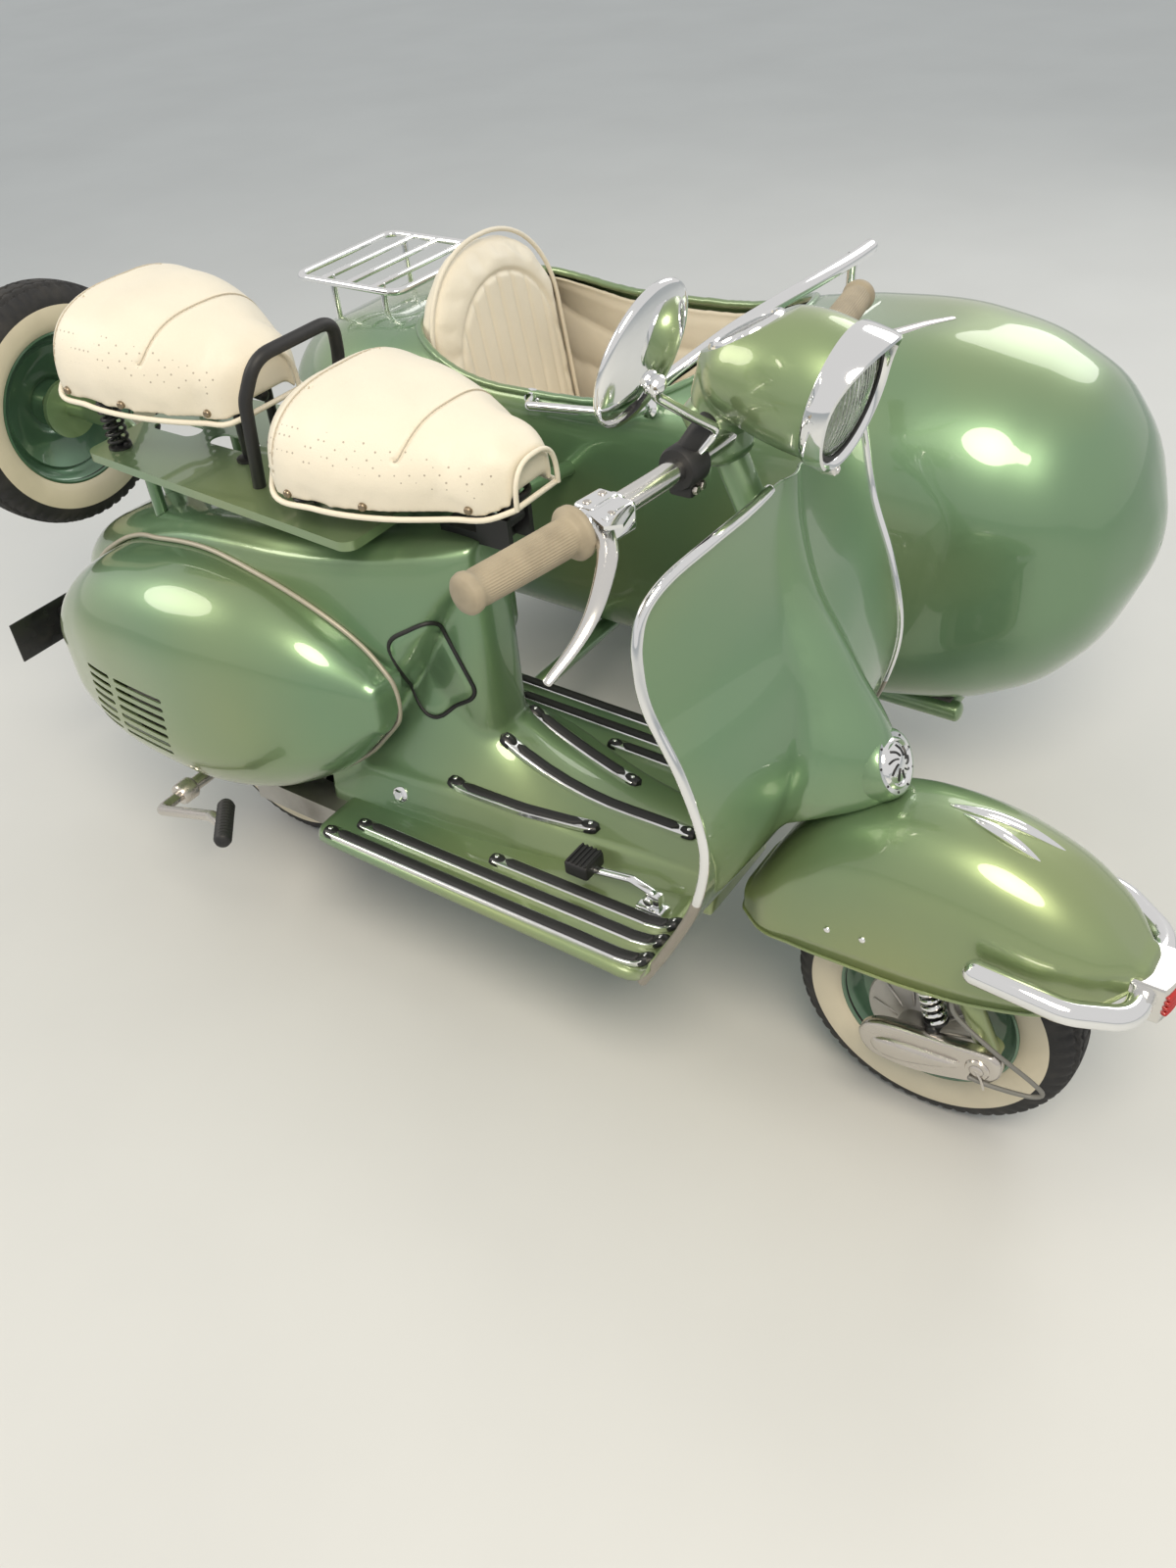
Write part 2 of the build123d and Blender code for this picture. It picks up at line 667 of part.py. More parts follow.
@cache
def bumper_insert():
    x, (low_y, low_z) = BUMPER_BLOCK[1][0], (-26, 332)
    plate = box((x - 6, low_y, low_z), (x + 3, -low_y, 358))
    for index in range(3):
        z = low_z + 6 + index * 7
        plate -= box((x, low_y - 1, z), (x + 4, 1 - low_y, z + 3))
    return plate


SPRING_TOP = (1152.0, FORK_Y - 2, 322.0)
SPRING_LOW = (1178.0, FORK_Y - 2, 232.0)
SPRING_RADIUS = 14.0
SPRING_TURNS = 9


def front_spring():
    """Coil spring and damper drawn as stacked turns."""
    length = (Vector(*SPRING_TOP) - Vector(*SPRING_LOW)).length
    pitch = length / SPRING_TURNS
    points = [(0, 0)]
    for turn in range(SPRING_TURNS):
        base = turn * pitch
        points += [(SPRING_RADIUS - 4, base), (SPRING_RADIUS, base + pitch / 2)]
    points += [(SPRING_RADIUS - 4, length), (0, length)]
    coil = revolve(Plane.XZ * make_face(Polyline(*points, close=True)), Axis.Z)
    seat = Plane(origin=SPRING_LOW, z_dir=Vector(*SPRING_TOP) - Vector(*SPRING_LOW))
    return seat.location * coil - steering_column()


@cache
def front_link():
    """Suspension arm with its pressed cover, from the pivot to the wheel axle."""
    plate = make_face(Polyline((1252, 227), (1120, 212), (1092, 192), (1094, 162), (1120, 150), (1180, 156), (1262, 188),
                               (1266, 210), close=True))
    plane = Plane.XZ.offset(-LINK_INNER)
    arm = extrude(plane * plate, LINK_INNER - LINK_OUTER)
    arm = fillet(arm.edges().filter_by(Axis.Y), 9)
    axle = rod((WHEELBASE, LINK_INNER - 4, TYRE_RADIUS), (WHEELBASE, RIM_WIDTH / 2 + 6, TYRE_RADIUS), AXLE_RADIUS)
    spring_pin = rod((SPRING_LOW[0] + 2, LINK_INNER - 2, 221), (SPRING_LOW[0] + 2, SPRING_LOW[1] + 12, 221), 9)
    return arm + axle + spring_pin


def brake_plate():
    plate = rod((WHEELBASE, -RIM_WIDTH / 2 - 14, TYRE_RADIUS), (WHEELBASE, -RIM_WIDTH / 2 - 3, TYRE_RADIUS), DRUM_RADIUS)
    boss = rod((WHEELBASE, LINK_INNER + SEAT_PLAY, TYRE_RADIUS), (WHEELBASE, -RIM_WIDTH / 2 - 3, TYRE_RADIUS), 26)
    arm = rod((WHEELBASE - 44, -66, 226), (WHEELBASE - 44, -RIM_WIDTH / 2 - 6, 226), 7)
    return plate + boss + arm - front_link()


CABLE_RADIUS = 3.0
BRAKE_CABLE = [(1206, -92, 268), (1262, -96, 236), (1322, -84, 190), (1300, -92, 178), (1240, -112, 190)]


def brake_cable():
    return tube(BRAKE_CABLE, [30, 12, 30], CABLE_RADIUS) - front_link() - steering_column()


# Small parts of the body
BEAD_RADIUS = 5.0
BEAD_PLAY = 0.6


def shield_point(y, z):
    """Middle of the shield's sheet at a place across and a height."""
    rows = SHIELD_ROWS
    for (z0, x0, c0), (z1, x1, c1) in zip(rows, rows[1:]):
        if z0 <= z <= z1:
            t = (z - z0) / (z1 - z0)
            edge, crown = x0 + t * (x1 - x0), c0 + t * (c1 - c0)
            return (edge + crown * (1 - (y / SHIELD_HALF) ** 2) - SHIELD_WALL / 2, y, z)


def beside(points, gap):
    """Points of a line moved outward by a gap, each run parallel to where it was."""
    moved = []
    for index, (y, z, _) in enumerate(points):
        before = points[max(index - 1, 0)]
        after = points[min(index + 1, len(points) - 1)]
        normals = []
        for (y0, z0, _), (y1, z1, _) in ((before, points[index]), (points[index], after)):
            length = math.hypot(y1 - y0, z1 - z0)
            if length > 0:
                normals.append(((z1 - z0) / length, -(y1 - y0) / length))
        share = 1 + normals[0][0] * normals[-1][0] + normals[0][1] * normals[-1][1]
        across = (normals[0][0] + normals[-1][0]) / share
        rise = (normals[0][1] + normals[-1][1]) / share
        moved.append((y + gap * across, z + gap * rise))
    return moved


def shield_bead():
    """Rolled trim along the edge of the shield, one strip each side."""
    foot, *middle, neck = SHIELD_EDGE
    edge = [(foot[0], foot[1] + 2, 0), *middle, (neck[0] + 4, neck[1], 0)]
    line = beside(edge, BEAD_RADIUS + BEAD_PLAY)
    bends = [bend + BEAD_RADIUS for _, _, bend in middle]
    strips = []
    for side in (-1, 1):
        path = [shield_point(side * y, z) for y, z in line]
        strips += tube(path, bends, BEAD_RADIUS).solids()
    return Compound(children=strips)


HORN_CENTRE = (1070.0, 0.0, 534.0)
HORN_RADIUS = 34.0
HORN_DEPTH = 14.0


def horn_plane(offset=0.0):
    rake = math.radians(STEERING_RAKE)
    return Plane(origin=HORN_CENTRE, x_dir=(0, 1, 0), z_dir=(math.cos(rake), 0, math.sin(rake))).offset(offset)


def horn_boss():
    return extrude(horn_plane(-44) * Circle(HORN_RADIUS + 4), 36)


def horn_grille():
    disc = extrude(horn_plane(-8) * Circle(HORN_RADIUS), HORN_DEPTH)
    for index in range(12):
        angle = index * 360 / 12
        hole = extrude(horn_plane(2) * Rot(0, 0, angle) * Pos(24, 0) * Circle(3.2), 10)
        disc -= hole
    return disc


def access_cover():
    grown = loft([neck_slice(row, -3.0) for row in NECK_ROWS])
    outline = make_face(Polyline((338, 528), (392, 384), (448, 456), (436, 584), (372, 600), close=True))
    outline = fillet(outline.vertices(), 16)
    prism = extrude(Plane.XZ.offset(20) * outline, 130)
    panel = (grown & prism) - body_space() - cowl_space()
    return Compound(children=[max(panel.solids(), key=lambda solid: solid.volume)])


SHOCK_FOOT = (-84.0, -104.0, 418.0)
SHOCK_HEAD = (-92.0, -100.0, 640.0)
SHOCK_RADIUS = 22.0


def rear_shock():
    """Spring and damper from the top of the engine to the roof of the body."""
    foot, head = Vector(*SHOCK_FOOT), Vector(*SHOCK_HEAD)
    waist = foot + (head - foot) * 0.6
    damper = rod(foot, waist, SHOCK_RADIUS) + rod(waist, head, 9) - engine() - rear_body()
    return max(damper.solids(), key=lambda solid: solid.volume)


KICK_PIVOT = (2.0, -236.0, 232.0)


def kick_lever():
    arm = tube([KICK_PIVOT, (6, -292, 234), (150, -300, 290), (196, -318, 310)], [16, 18], 9)
    pad = rod((176, -288, 312), (236, -350, 318), 12)
    shaft = rod((KICK_PIVOT[0], ENGINE_LOW[1] - SEAT_PLAY, KICK_PIVOT[2]), (KICK_PIVOT[0], KICK_PIVOT[1] - 4, KICK_PIVOT[2]), 12)
    return arm + pad + shaft


def brake_pedal():
    arm = box((752, -131, FLOOR_TOP + SEAT_PLAY), (812, -113, 300)) + box((700, -131, 292), (812, -113, 304))
    pad = fillet(box((676, -146, 292), (716, -102, 318)).edges(), 5)
    return arm + pad


PLATE_X = -398.0


@cache
def number_plate():
    plate = box((PLATE_X, -206, 330), (PLATE_X + 3, -3, 402))
    plate = fillet(plate.edges().filter_by(Axis.X), 8)
    holder = box((PLATE_X + 3, -120, 352), (-344, -60, 392)) + box((-360, -66, 352), (-344, 30, 392))
    return plate + holder - body_space()


def tail_lamp():
    lamp = fillet(box((-378, -28, 408), (-340, 28, 448)).edges().filter_by(Axis.X), 12)
    return lamp - body_space() - number_plate()


RACK_Z = 722.0


@cache
def rear_rack():
    outline = make_face(Polyline((-150, -118), (398, -152), (398, 152), (-150, 118), close=True))
    outline = fillet(outline.vertices(), 20)
    sheet = Pos(0, 0, RACK_Z) * extrude(outline, SHEET)
    rim_low = Pos(0, 0, RACK_Z - 10) * extrude(outline - offset(outline, -SHEET), 10)
    slots = [Pos(x, 0, RACK_Z - 1) * extrude(SlotOverall(90, 34), SHEET + 2) for x in (-80, 40, 160)]
    rack = sheet + rim_low
    for slot in slots:
        rack -= slot
    posts = [rod((x, y, 620), (x, y, RACK_Z), 10) for x in (-60, 330) for y in (-84, 84)]
    for post in posts:
        rack += post
    return rack + spare_carrier() - body_space()


SPARE_X = -381.0
SPARE_Z = 706.0


def spare_turn(solid):
    """Turn a wheel part from the Y axis to the X axis and stand it at the spare wheel's place."""
    return Pos(SPARE_X, 4, SPARE_Z) * Rot(0, 0, -90) * solid


def spare_rim():
    return spare_turn(rim(0, 0, 0))


def spare_tyre():
    return spare_turn(tyre(0, 0, 0))


def spare_carrier():
    bolt = rod((SPARE_X - RIM_WIDTH / 2 - 8, 4, SPARE_Z), (-300, 4, SPARE_Z), AXLE_RADIUS)
    disc = rod((SPARE_X + RIM_WIDTH / 2 - 3.7, 4, SPARE_Z), (SPARE_X + RIM_WIDTH / 2 + 4, 4, SPARE_Z), HUB_RADIUS)
    arm = tube([(-300, 4, SPARE_Z), (-220, 4, SPARE_Z), (-150, 4, 640), (-140, 4, 590)], [40, 40], 14)
    return bolt + disc + arm


# Saddles
# x, half width, underside, top, shoulder radius, lower corner radius
SADDLE_ROWS = [
    (232, 96, 772, 838, 26, 18),
    (262, 130, 762, 868, 40, 22),
    (340, 136, 756, 876, 44, 22),
    (430, 112, 752, 866, 42, 22),
    (510, 74, 752, 848, 36, 20),
    (560, 56, 756, 836, 30, 18),
    (582, 40, 764, 820, 22, 16),
]
SADDLE_HINGE = (540.0, 0.0, 724.0)
PILLION_ROWS = [
    (-166, 84, 838, 892, 24, 16),
    (-140, 122, 826, 926, 40, 22),
    (-70, 136, 818, 938, 44, 22),
    (20, 118, 808, 926, 42, 22),
    (96, 80, 800, 900, 34, 20),
    (132, 62, 800, 886, 28, 18),
    (146, 44, 806, 872, 20, 16),
]


def saddle_cover():
    return lofted(SADDLE_ROWS) - saddle_frame()


def pillion_cover():
    return lofted(PILLION_ROWS) - pillion_frame()


@cache
def saddle_frame():
    """Tube frame with the nose hinge and two coil springs."""
    nose = rod((SADDLE_HINGE[0], -16, SADDLE_HINGE[2]), (SADDLE_HINGE[0], 16, SADDLE_HINGE[2]), 8)
    stem = rod((SADDLE_HINGE[0], 0, SADDLE_HINGE[2]), (520, 0, 762), 9)
    spine = rod((545, 0, 758), (262, 0, 768), 9)
    cross = rod((268, -96, 766), (268, 96, 766), 9)
    frame = nose + stem + spine + cross
    for side in (-1, 1):
        frame += rod((268, side * 88, 766), (268, side * 88, RACK_Z + SHEET + SEAT_PLAY), 19)
    bore = rod((SADDLE_HINGE[0], -20, SADDLE_HINGE[2]), (SADDLE_HINGE[0], 20, SADDLE_HINGE[2]), 4 + SHAFT_PLAY)
    return frame - bore


def saddle_bracket():
    x, _, z = SADDLE_HINGE
    foot = box((440, -26, 690), (528, 26, 706))
    ears = box((500, -26, 690), (552, -18, z + 10)) + box((500, 18, 690), (552, 26, z + 10))
    pin = rod((x, -26, z), (x, 26, z), 4)
    return foot + ears + pin - body_space()


def fuel_cap():
    return rod((330, 0, 680), (330, 0, 712), 30) - body_space()


@cache
def pillion_frame():
    spine = rod((-120, 0, 834), (128, 0, 812), 9)
    frame = spine + rod((-110, -92, 832), (-110, 92, 832), 9) + rod((100, -40, 814), (100, 40, 814), 9)
    top = RACK_Z + SHEET + SEAT_PLAY
    for x, y, z in [(-110, -84, 832), (-110, 84, 832), (100, -30, 814), (100, 30, 814)]:
        frame += rod((x, y, z), (x, y, top), 16)
    return frame


def grab_loop():
    top = RACK_Z + SHEET + SEAT_PLAY
    points = [(176, -84, top), (194, -88, 850), (212, -72, 903), (212, 72, 903), (194, 88, 850), (176, 84, top)]
    return tube(points, [60, 40, 40, 60], 9) - rear_rack()


# Sidecar
# x, half width, underside, deck height, shoulder radius, lower corner radius
HULL_ROWS = [
    (-440, 70, 420, 520, 48, 48),
    (-400, 130, 360, 590, 100, 100),
    (-280, 204, 286, 672, 120, 130),
    (-80, 238, 246, 712, 110, 120),
    (200, 244, 240, 716, 100, 116),
    (480, 244, 240, 730, 110, 116),
    (700, 244, 240, 782, 170, 122),
    (880, 238, 242, 798, 205, 150),
    (1010, 214, 258, 772, 200, 180),
    (1100, 168, 318, 716, 160, 158),
    (1152, 112, 400, 640, 108, 108),
    (1174, 60, 466, 580, 54, 54),
]
COCKPIT_REAR = -60.0
COCKPIT_FRONT = 590.0
COCKPIT_HALF = 226.0
COCKPIT_DEPTH_Z = 560.0


@cache
def hull_space():
    return lofted(HULL_ROWS, 0, CAR_Y)


def sidecar_hull():
    outer = hull_space()
    inner = lofted(HULL_ROWS, HULL_WALL, CAR_Y)
    opening = RectangleRounded(COCKPIT_FRONT - COCKPIT_REAR, 2 * COCKPIT_HALF, 120)
    place = Pos((COCKPIT_FRONT + COCKPIT_REAR) / 2, CAR_Y, COCKPIT_DEPTH_Z)
    return outer - inner - place * extrude(opening, 400)


CUSHION_LOW = 330.0
CUSHION_TOP = 432.0
CUSHION_REAR = 88.0
CUSHION_FRONT = 500.0
CUSHION_HALF = 190.0
BACKREST_LEAN = 8.0
BACKREST_HALF = 182.0
BACKREST_HEIGHT = 494.0
BACKREST_THICKNESS = 66.0


def sidecar_backrest():
    """Padded back with an arched top, leaning back on the seat base behind the cushion."""
    lean = math.radians(BACKREST_LEAN)
    foot_z = CUSHION_LOW + BACKREST_THICKNESS * math.sin(lean) + SEAT_PLAY
    face = rounded(BACKREST_HALF, 0, BACKREST_HEIGHT, 150, 24)
    front = Plane(origin=(CUSHION_REAR - 2, CAR_Y, foot_z), x_dir=(0, 1, 0), z_dir=(math.cos(lean), 0, math.sin(lean)))
    return extrude(front * face, -BACKREST_THICKNESS)


def sidecar_cushion():
    low = (CUSHION_REAR, CAR_Y - CUSHION_HALF, CUSHION_LOW)
    high = (CUSHION_FRONT, CAR_Y + CUSHION_HALF, CUSHION_TOP)
    return fillet(box(low, high).edges(), 22)


def sidecar_seat_base():
    board = box((-20, CAR_Y - 180, CAR_FLOOR_Z - 8), (490, CAR_Y + 180, CUSHION_LOW - SEAT_PLAY))
    return board & lofted(HULL_ROWS, HULL_WALL, CAR_Y)


def sidecar_rail():
    points = [(468, CAR_Y - 206, 690), (500, CAR_Y - 170, 735), (592, CAR_Y - 40, 802), (626, CAR_Y + 200, 812)]
    bar = tube(points, [40, 120], 11)
    end = Pos(*points[-1]) * Sphere(11)
    post = rod((600, CAR_Y + 150, 720), (612, CAR_Y + 150, 806), 9)
    return bar + end + post - hull_space()


def side_handle():
    y = CAR_Y - CAR_HALF_WIDTH
    points = [(258, y + 30, 668), (276, y - 18, 670), (464, y - 18, 690), (482, y + 30, 692)]
    handle = tube(points, [10, 10], 7) - hull_space()
    return max(handle.solids(), key=lambda solid: solid.volume)


CHASSIS_Z = 222.0
CHASSIS_RADIUS = 17.0
CHASSIS_HALF = 112.0
STRUT_X = (90.0, 700.0)


def sidecar_chassis():
    """Tube ladder below the hull, the two lower arms to the scooter, the upper stay and the wheel axle."""
    near, far = CAR_Y - CHASSIS_HALF, CAR_Y + CHASSIS_HALF
    frame = rod((-220, near, CHASSIS_Z), (960, near, CHASSIS_Z), CHASSIS_RADIUS)
    frame += rod((-220, far, CHASSIS_Z), (960, far, CHASSIS_Z), CHASSIS_RADIUS)
    for x in (-200, SIDECAR_WHEEL_X, STRUT_X[1], 940):
        frame += rod((x, near, CHASSIS_Z), (x, far, CHASSIS_Z), CHASSIS_RADIUS - 2)
    frame += rod((STRUT_X[1], -60, CHASSIS_Z), (STRUT_X[1], near, CHASSIS_Z), CHASSIS_RADIUS - 2)
    frame += rod((320, 125, CHASSIS_Z), (320, near, CHASSIS_Z), CHASSIS_RADIUS - 2)
    for x, y in ((STRUT_X[1], -50), (STRUT_X[1], 150), (320, 140), (320, 200)):
        frame += rod((x, y, CHASSIS_Z), (x, y, FLOOR_TOP - SHEET - SEAT_PLAY), 12)
    stay = rod((330, 100, 612), (330, CAR_Y - CAR_HALF_WIDTH + 20, 566), CHASSIS_RADIUS - 4)
    axle = tube([(SIDECAR_WHEEL_X, far - 20, CHASSIS_Z), (SIDECAR_WHEEL_X, far + 60, CHASSIS_Z),
                 (SIDECAR_WHEEL_X, far + 130, TYRE_RADIUS), (SIDECAR_WHEEL_X, SIDECAR_WHEEL_Y - RIM_WIDTH / 2 - 3, TYRE_RADIUS)],
                [50, 50], 16)
    stub = rod((SIDECAR_WHEEL_X, SIDECAR_WHEEL_Y - RIM_WIDTH / 2 - 8, TYRE_RADIUS),
               (SIDECAR_WHEEL_X, SIDECAR_WHEEL_Y + RIM_WIDTH / 2 + 6, TYRE_RADIUS), AXLE_RADIUS)
    return frame + axle + stub + (stay - body_space()) - hull_space()


GUARD_RADIUS = 226.0
GUARD_HALF = 60.0


def sidecar_mudguard():
    x, y, z = SIDECAR_WHEEL_X, SIDECAR_WHEEL_Y, TYRE_RADIUS
    outer = rod((x, y - GUARD_HALF, z), (x, y + GUARD_HALF, z), GUARD_RADIUS)
    outer = fillet(outer.edges(), 34)
    inner = rod((x, y - GUARD_HALF + SHEET, z), (x, y + GUARD_HALF - SHEET, z), GUARD_RADIUS - SHEET)
    inner = fillet(inner.edges(), 31)
    guard = outer - inner - box((x - 300, y - 100, z - 300), (x + 300, y + 100, z + 52))
    for side in (-1, 1):
        guard += box((x + side * 110 - 14, CAR_Y + 236, 330), (x + side * 110 + 14, y - GUARD_HALF + 1, 336))
    return guard - hull_space()


def luggage_rack():
    z = 752
    loop = tube([(-90, CAR_Y, z), (-90, CAR_Y - 130, z), (-330, CAR_Y - 130, z), (-330, CAR_Y + 130, z), (-90, CAR_Y + 130, z),
                 (-90, CAR_Y + 1, z)], 26, 6)
    rack = loop
    for x in (-150, -210, -270):
        rack += rod((x, CAR_Y - 130, z), (x, CAR_Y + 130, z), 5)
    for x in (-150, -270):
        for y in (-100, 100):
            rack += rod((x, CAR_Y + y, 600), (x, CAR_Y + y, z), 6)
    return rack - hull_space()


# Centre stand, folded up under the floor
STAND_PIVOT = (420.0, 0.0, 236.0)
STAND_LEG = 232.0
STAND_RADIUS = 11.0


def centre_stand():
    x, _, z = STAND_PIVOT
    shaft = rod((x, -92, z), (x, 92, z), STAND_RADIUS + 4)
    stand = shaft - rod((x, -100, z), (x, 100, z), 6 + SHAFT_PLAY)
    for side in (-1, 1):
        stand += rod((x - 10, side * 78, z), (x - STAND_LEG, side * 104, z - 4), STAND_RADIUS)
    stand += rod((x - 110, -88, z - 2), (x - 110, 88, z - 2), 8)
    return stand - rod((x, -100, z), (x, 100, z), 6 + SHAFT_PLAY)


def stand_bracket():
    x, _, z = STAND_PIVOT
    top = FLOOR_TOP - SHEET - SEAT_PLAY
    bracket = rod((x, -104, z), (x, 104, z), 6) + box((x - 16, -150, top - 6), (x + 16, 150, top))
    for side in (-1, 1):
        bracket += box((x - 16, side * 98 - 4, z - 12), (x + 16, side * 98 + 4, top))
    return bracket


NODES = {
    "leg_shield": leg_shield,
    "shield_bead": shield_bead,
    "horn_grille": horn_grille,
    "rear_body": rear_body,
    "floor_pan": floor_pan,
    "floor_runners": floor_runners,
    "runner_rubbers": runner_rubbers,
    "engine_cowl": engine_cowl,
    "left_cowl": left_cowl,
    "access_cover": access_cover,
    "engine": engine,
    "rear_shock": rear_shock,
    "kick_lever": kick_lever,
    "brake_pedal": brake_pedal,
    "number_plate": number_plate,
    "tail_lamp": tail_lamp,
    "rear_rack": rear_rack,
    "spare_rim": spare_rim,
    "spare_tyre": spare_tyre,
    "pillion_frame": pillion_frame,
    "pillion_cover": pillion_cover,
    "grab_loop": grab_loop,
    "saddle_bracket": saddle_bracket,
    "saddle_frame": saddle_frame,
    "saddle_cover": saddle_cover,
    "fuel_cap": fuel_cap,
    "stand_bracket": stand_bracket,
    "centre_stand": centre_stand,
    "steering_column": steering_column,
    "handlebar": handlebar,
    "hand_grips": hand_grips,
    "brake_levers": brake_levers,
    "lamp_pod": lamp_pod,
    "lamp_rim": lamp_rim,
    "lamp_lens": lamp_lens,
    "mirror": mirror_glass,
    "front_mudguard": front_mudguard,
    "mudguard_crest": mudguard_crest,
    "bumper": bumper,
    "bumper_insert": bumper_insert,
    "front_link": front_link,
    "front_spring": front_spring,
    "brake_plate": brake_plate,
    "brake_cable": brake_cable,
    "front_rim": lambda: rim(WHEELBASE, 0),
    "front_tyre": lambda: tyre(WHEELBASE, 0),
    "rear_rim": lambda: rim(0, 0),
    "rear_tyre": lambda: tyre(0, 0),
    "sidecar_rim": lambda: rim(SIDECAR_WHEEL_X, SIDECAR_WHEEL_Y),
    "sidecar_tyre": lambda: tyre(SIDECAR_WHEEL_X, SIDECAR_WHEEL_Y),
    "sidecar_hull": sidecar_hull,
    "sidecar_backrest": sidecar_backrest,
    "sidecar_cushion": sidecar_cushion,
    "sidecar_seat_base": sidecar_seat_base,
    "sidecar_rail": sidecar_rail,
    "side_handle": side_handle,
    "sidecar_chassis": sidecar_chassis,
    "sidecar_mudguard": sidecar_mudguard,
    "luggage_rack": luggage_rack,
}


def main():
    for name, make in NODES.items():
        export_step(Pos(*MODEL_SHIFT) * make(), f"parts/{name}.step")
        print(name)


if __name__ == "__main__":
    main()
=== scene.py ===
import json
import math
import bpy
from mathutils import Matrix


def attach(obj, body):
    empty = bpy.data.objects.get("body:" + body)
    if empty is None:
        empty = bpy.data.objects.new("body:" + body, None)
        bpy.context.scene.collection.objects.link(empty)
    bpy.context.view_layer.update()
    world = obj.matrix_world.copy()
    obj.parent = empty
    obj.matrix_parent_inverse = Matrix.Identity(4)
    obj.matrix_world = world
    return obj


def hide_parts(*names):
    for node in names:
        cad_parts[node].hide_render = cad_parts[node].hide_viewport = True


bl_info = {
    "name": "Motor scooter with sidecar",
    "version": (1, 0, 0),
    "blender": (4, 5, 0),
    "location": "3D View > Sidebar > Scooter",
    "description": "Builds the body panels, wheels, saddles and small parts of a scooter and sidecar",
    "category": "Object",
}

import bmesh
import bpy
import numpy as np
from bpy.props import FloatProperty, FloatVectorProperty, IntProperty, PointerProperty
from bpy.types import Operator, Panel, PropertyGroup
from mathutils import Matrix, Vector, noise
from mathutils.bvhtree import BVHTree

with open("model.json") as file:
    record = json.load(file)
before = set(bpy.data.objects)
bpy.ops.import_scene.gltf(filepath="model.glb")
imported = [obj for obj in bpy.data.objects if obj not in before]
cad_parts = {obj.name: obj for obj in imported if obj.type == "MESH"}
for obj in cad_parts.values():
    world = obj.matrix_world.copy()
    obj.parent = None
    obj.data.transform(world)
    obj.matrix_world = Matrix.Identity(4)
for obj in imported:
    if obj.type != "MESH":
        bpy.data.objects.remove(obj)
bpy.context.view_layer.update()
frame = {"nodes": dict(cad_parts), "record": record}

# Sizes below are in millimetres from the rear axle: X forward, Y to the rider's left, Z up.
ORIGIN = Vector((493.0, 314.0, 0.0))
MM = 0.001

# wheels: radius and centres
WHEEL_R = 188.0
FRONT_AXLE = Vector((1156.0, 0.0, WHEEL_R))
REAR_AXLE = Vector((0.0, 0.0, WHEEL_R))
SIDE_AXLE = Vector((130.0, 968.0, WHEEL_R))
SPARE_CENTRE = Vector((-381.0, 4.0, 706.0))
# floor of the scooter, middle of the sidecar, steering's rake, headlamp and how far it looks down
FLOOR_Z = 268.0
FLOOR_HALF = 237.0
CAR_Y = 645.0
RAKE = math.radians(25.0)
LAMP = Vector((985.0, 0.0, 960.0))
LAMP_DIP = math.radians(12.0)

# height, place of the side edge, how far the middle stands forward
SHIELD_ROWS = [(266, 857, 2), (366, 908, 8), (457, 946, 22), (540, 960, 32), (640, 939, 36), (720, 908, 34),
               (800, 893, 34), (896, 893, 36)]
# half width and height along the shield's edge
SHIELD_EDGE = [(236, 268), (241, 330), (245, 385), (249, 500), (251, 560), (254, 620), (258, 680), (262, 730),
               (260, 765), (255, 795), (240, 826), (205, 846), (142, 857), (90, 862), (44, 868)]
# height, half width and reach of the ridge over the steering column
RIDGE_ROWS = [(455, 60, 0), (500, 76, 96), (560, 68, 68), (620, 50, 42), (700, 37, 24), (800, 26, 11),
              (868, 17, 5)]
# x, half width, low, deck, shoulder radius, lower radius
BODY_ROWS = [(-352, 52, 372, 470, 40, 20), (-290, 92, 335, 528, 62, 24), (-180, 122, 300, 592, 72, 26),
             (-40, 136, 280, 640, 66, 26), (130, 140, 274, 668, 58, 26), (250, 138, 272, 684, 52, 26),
             (330, 126, 380, 690, 48, 40), (410, 100, 520, 694, 44, 40), (470, 72, 610, 696, 38, 34),
             (502, 46, 650, 694, 20, 18)]
# height, rear, front, half width, corner radius
NECK_ROWS = [(690, 300, 500, 50, 38), (650, 290, 460, 58, 46), (600, 280, 424, 66, 56),
             (520, 270, 412, 72, 62), (450, 262, 404, 80, 70), (400, 255, 400, 88, 74),
             (330, 245, 400, 100, 70)]
# x, half width at the foot and at the crease, height of the crease and of the middle
TUNNEL_ROWS = [(245, 150, 122, 324, 560), (400, 140, 118, 324, 530), (430, 138, 116, 325, 482),
               (460, 136, 114, 326, 440), (500, 131, 110, 326, 395), (545, 124, 102, 323, 361),
               (600, 115, 92, 312, 334), (650, 106, 83, 304, 319), (750, 94, 68, 300, 309),
               (866, 80, 56, 298, 303)]
# x, reach in Y, low, high
COWL_ROWS = [(-272, 172, 372, 440), (-230, 210, 322, 500), (-130, 250, 272, 580), (10, 268, 254, 622),
             (130, 266, 262, 630), (240, 244, 300, 612), (330, 206, 362, 562), (384, 166, 424, 508)]
# x, half width, lower edge, crown, shoulder radius
MUDGUARD_ROWS = [(905, 58, 262, 306, 20), (932, 78, 264, 362, 60), (990, 87, 268, 448, 78),
                 (1070, 91, 274, 488, 84), (1155, 93, 282, 498, 88), (1240, 90, 296, 484, 84),
                 (1315, 78, 318, 448, 66), (1360, 54, 338, 408, 32), (1382, 30, 352, 384, 12)]
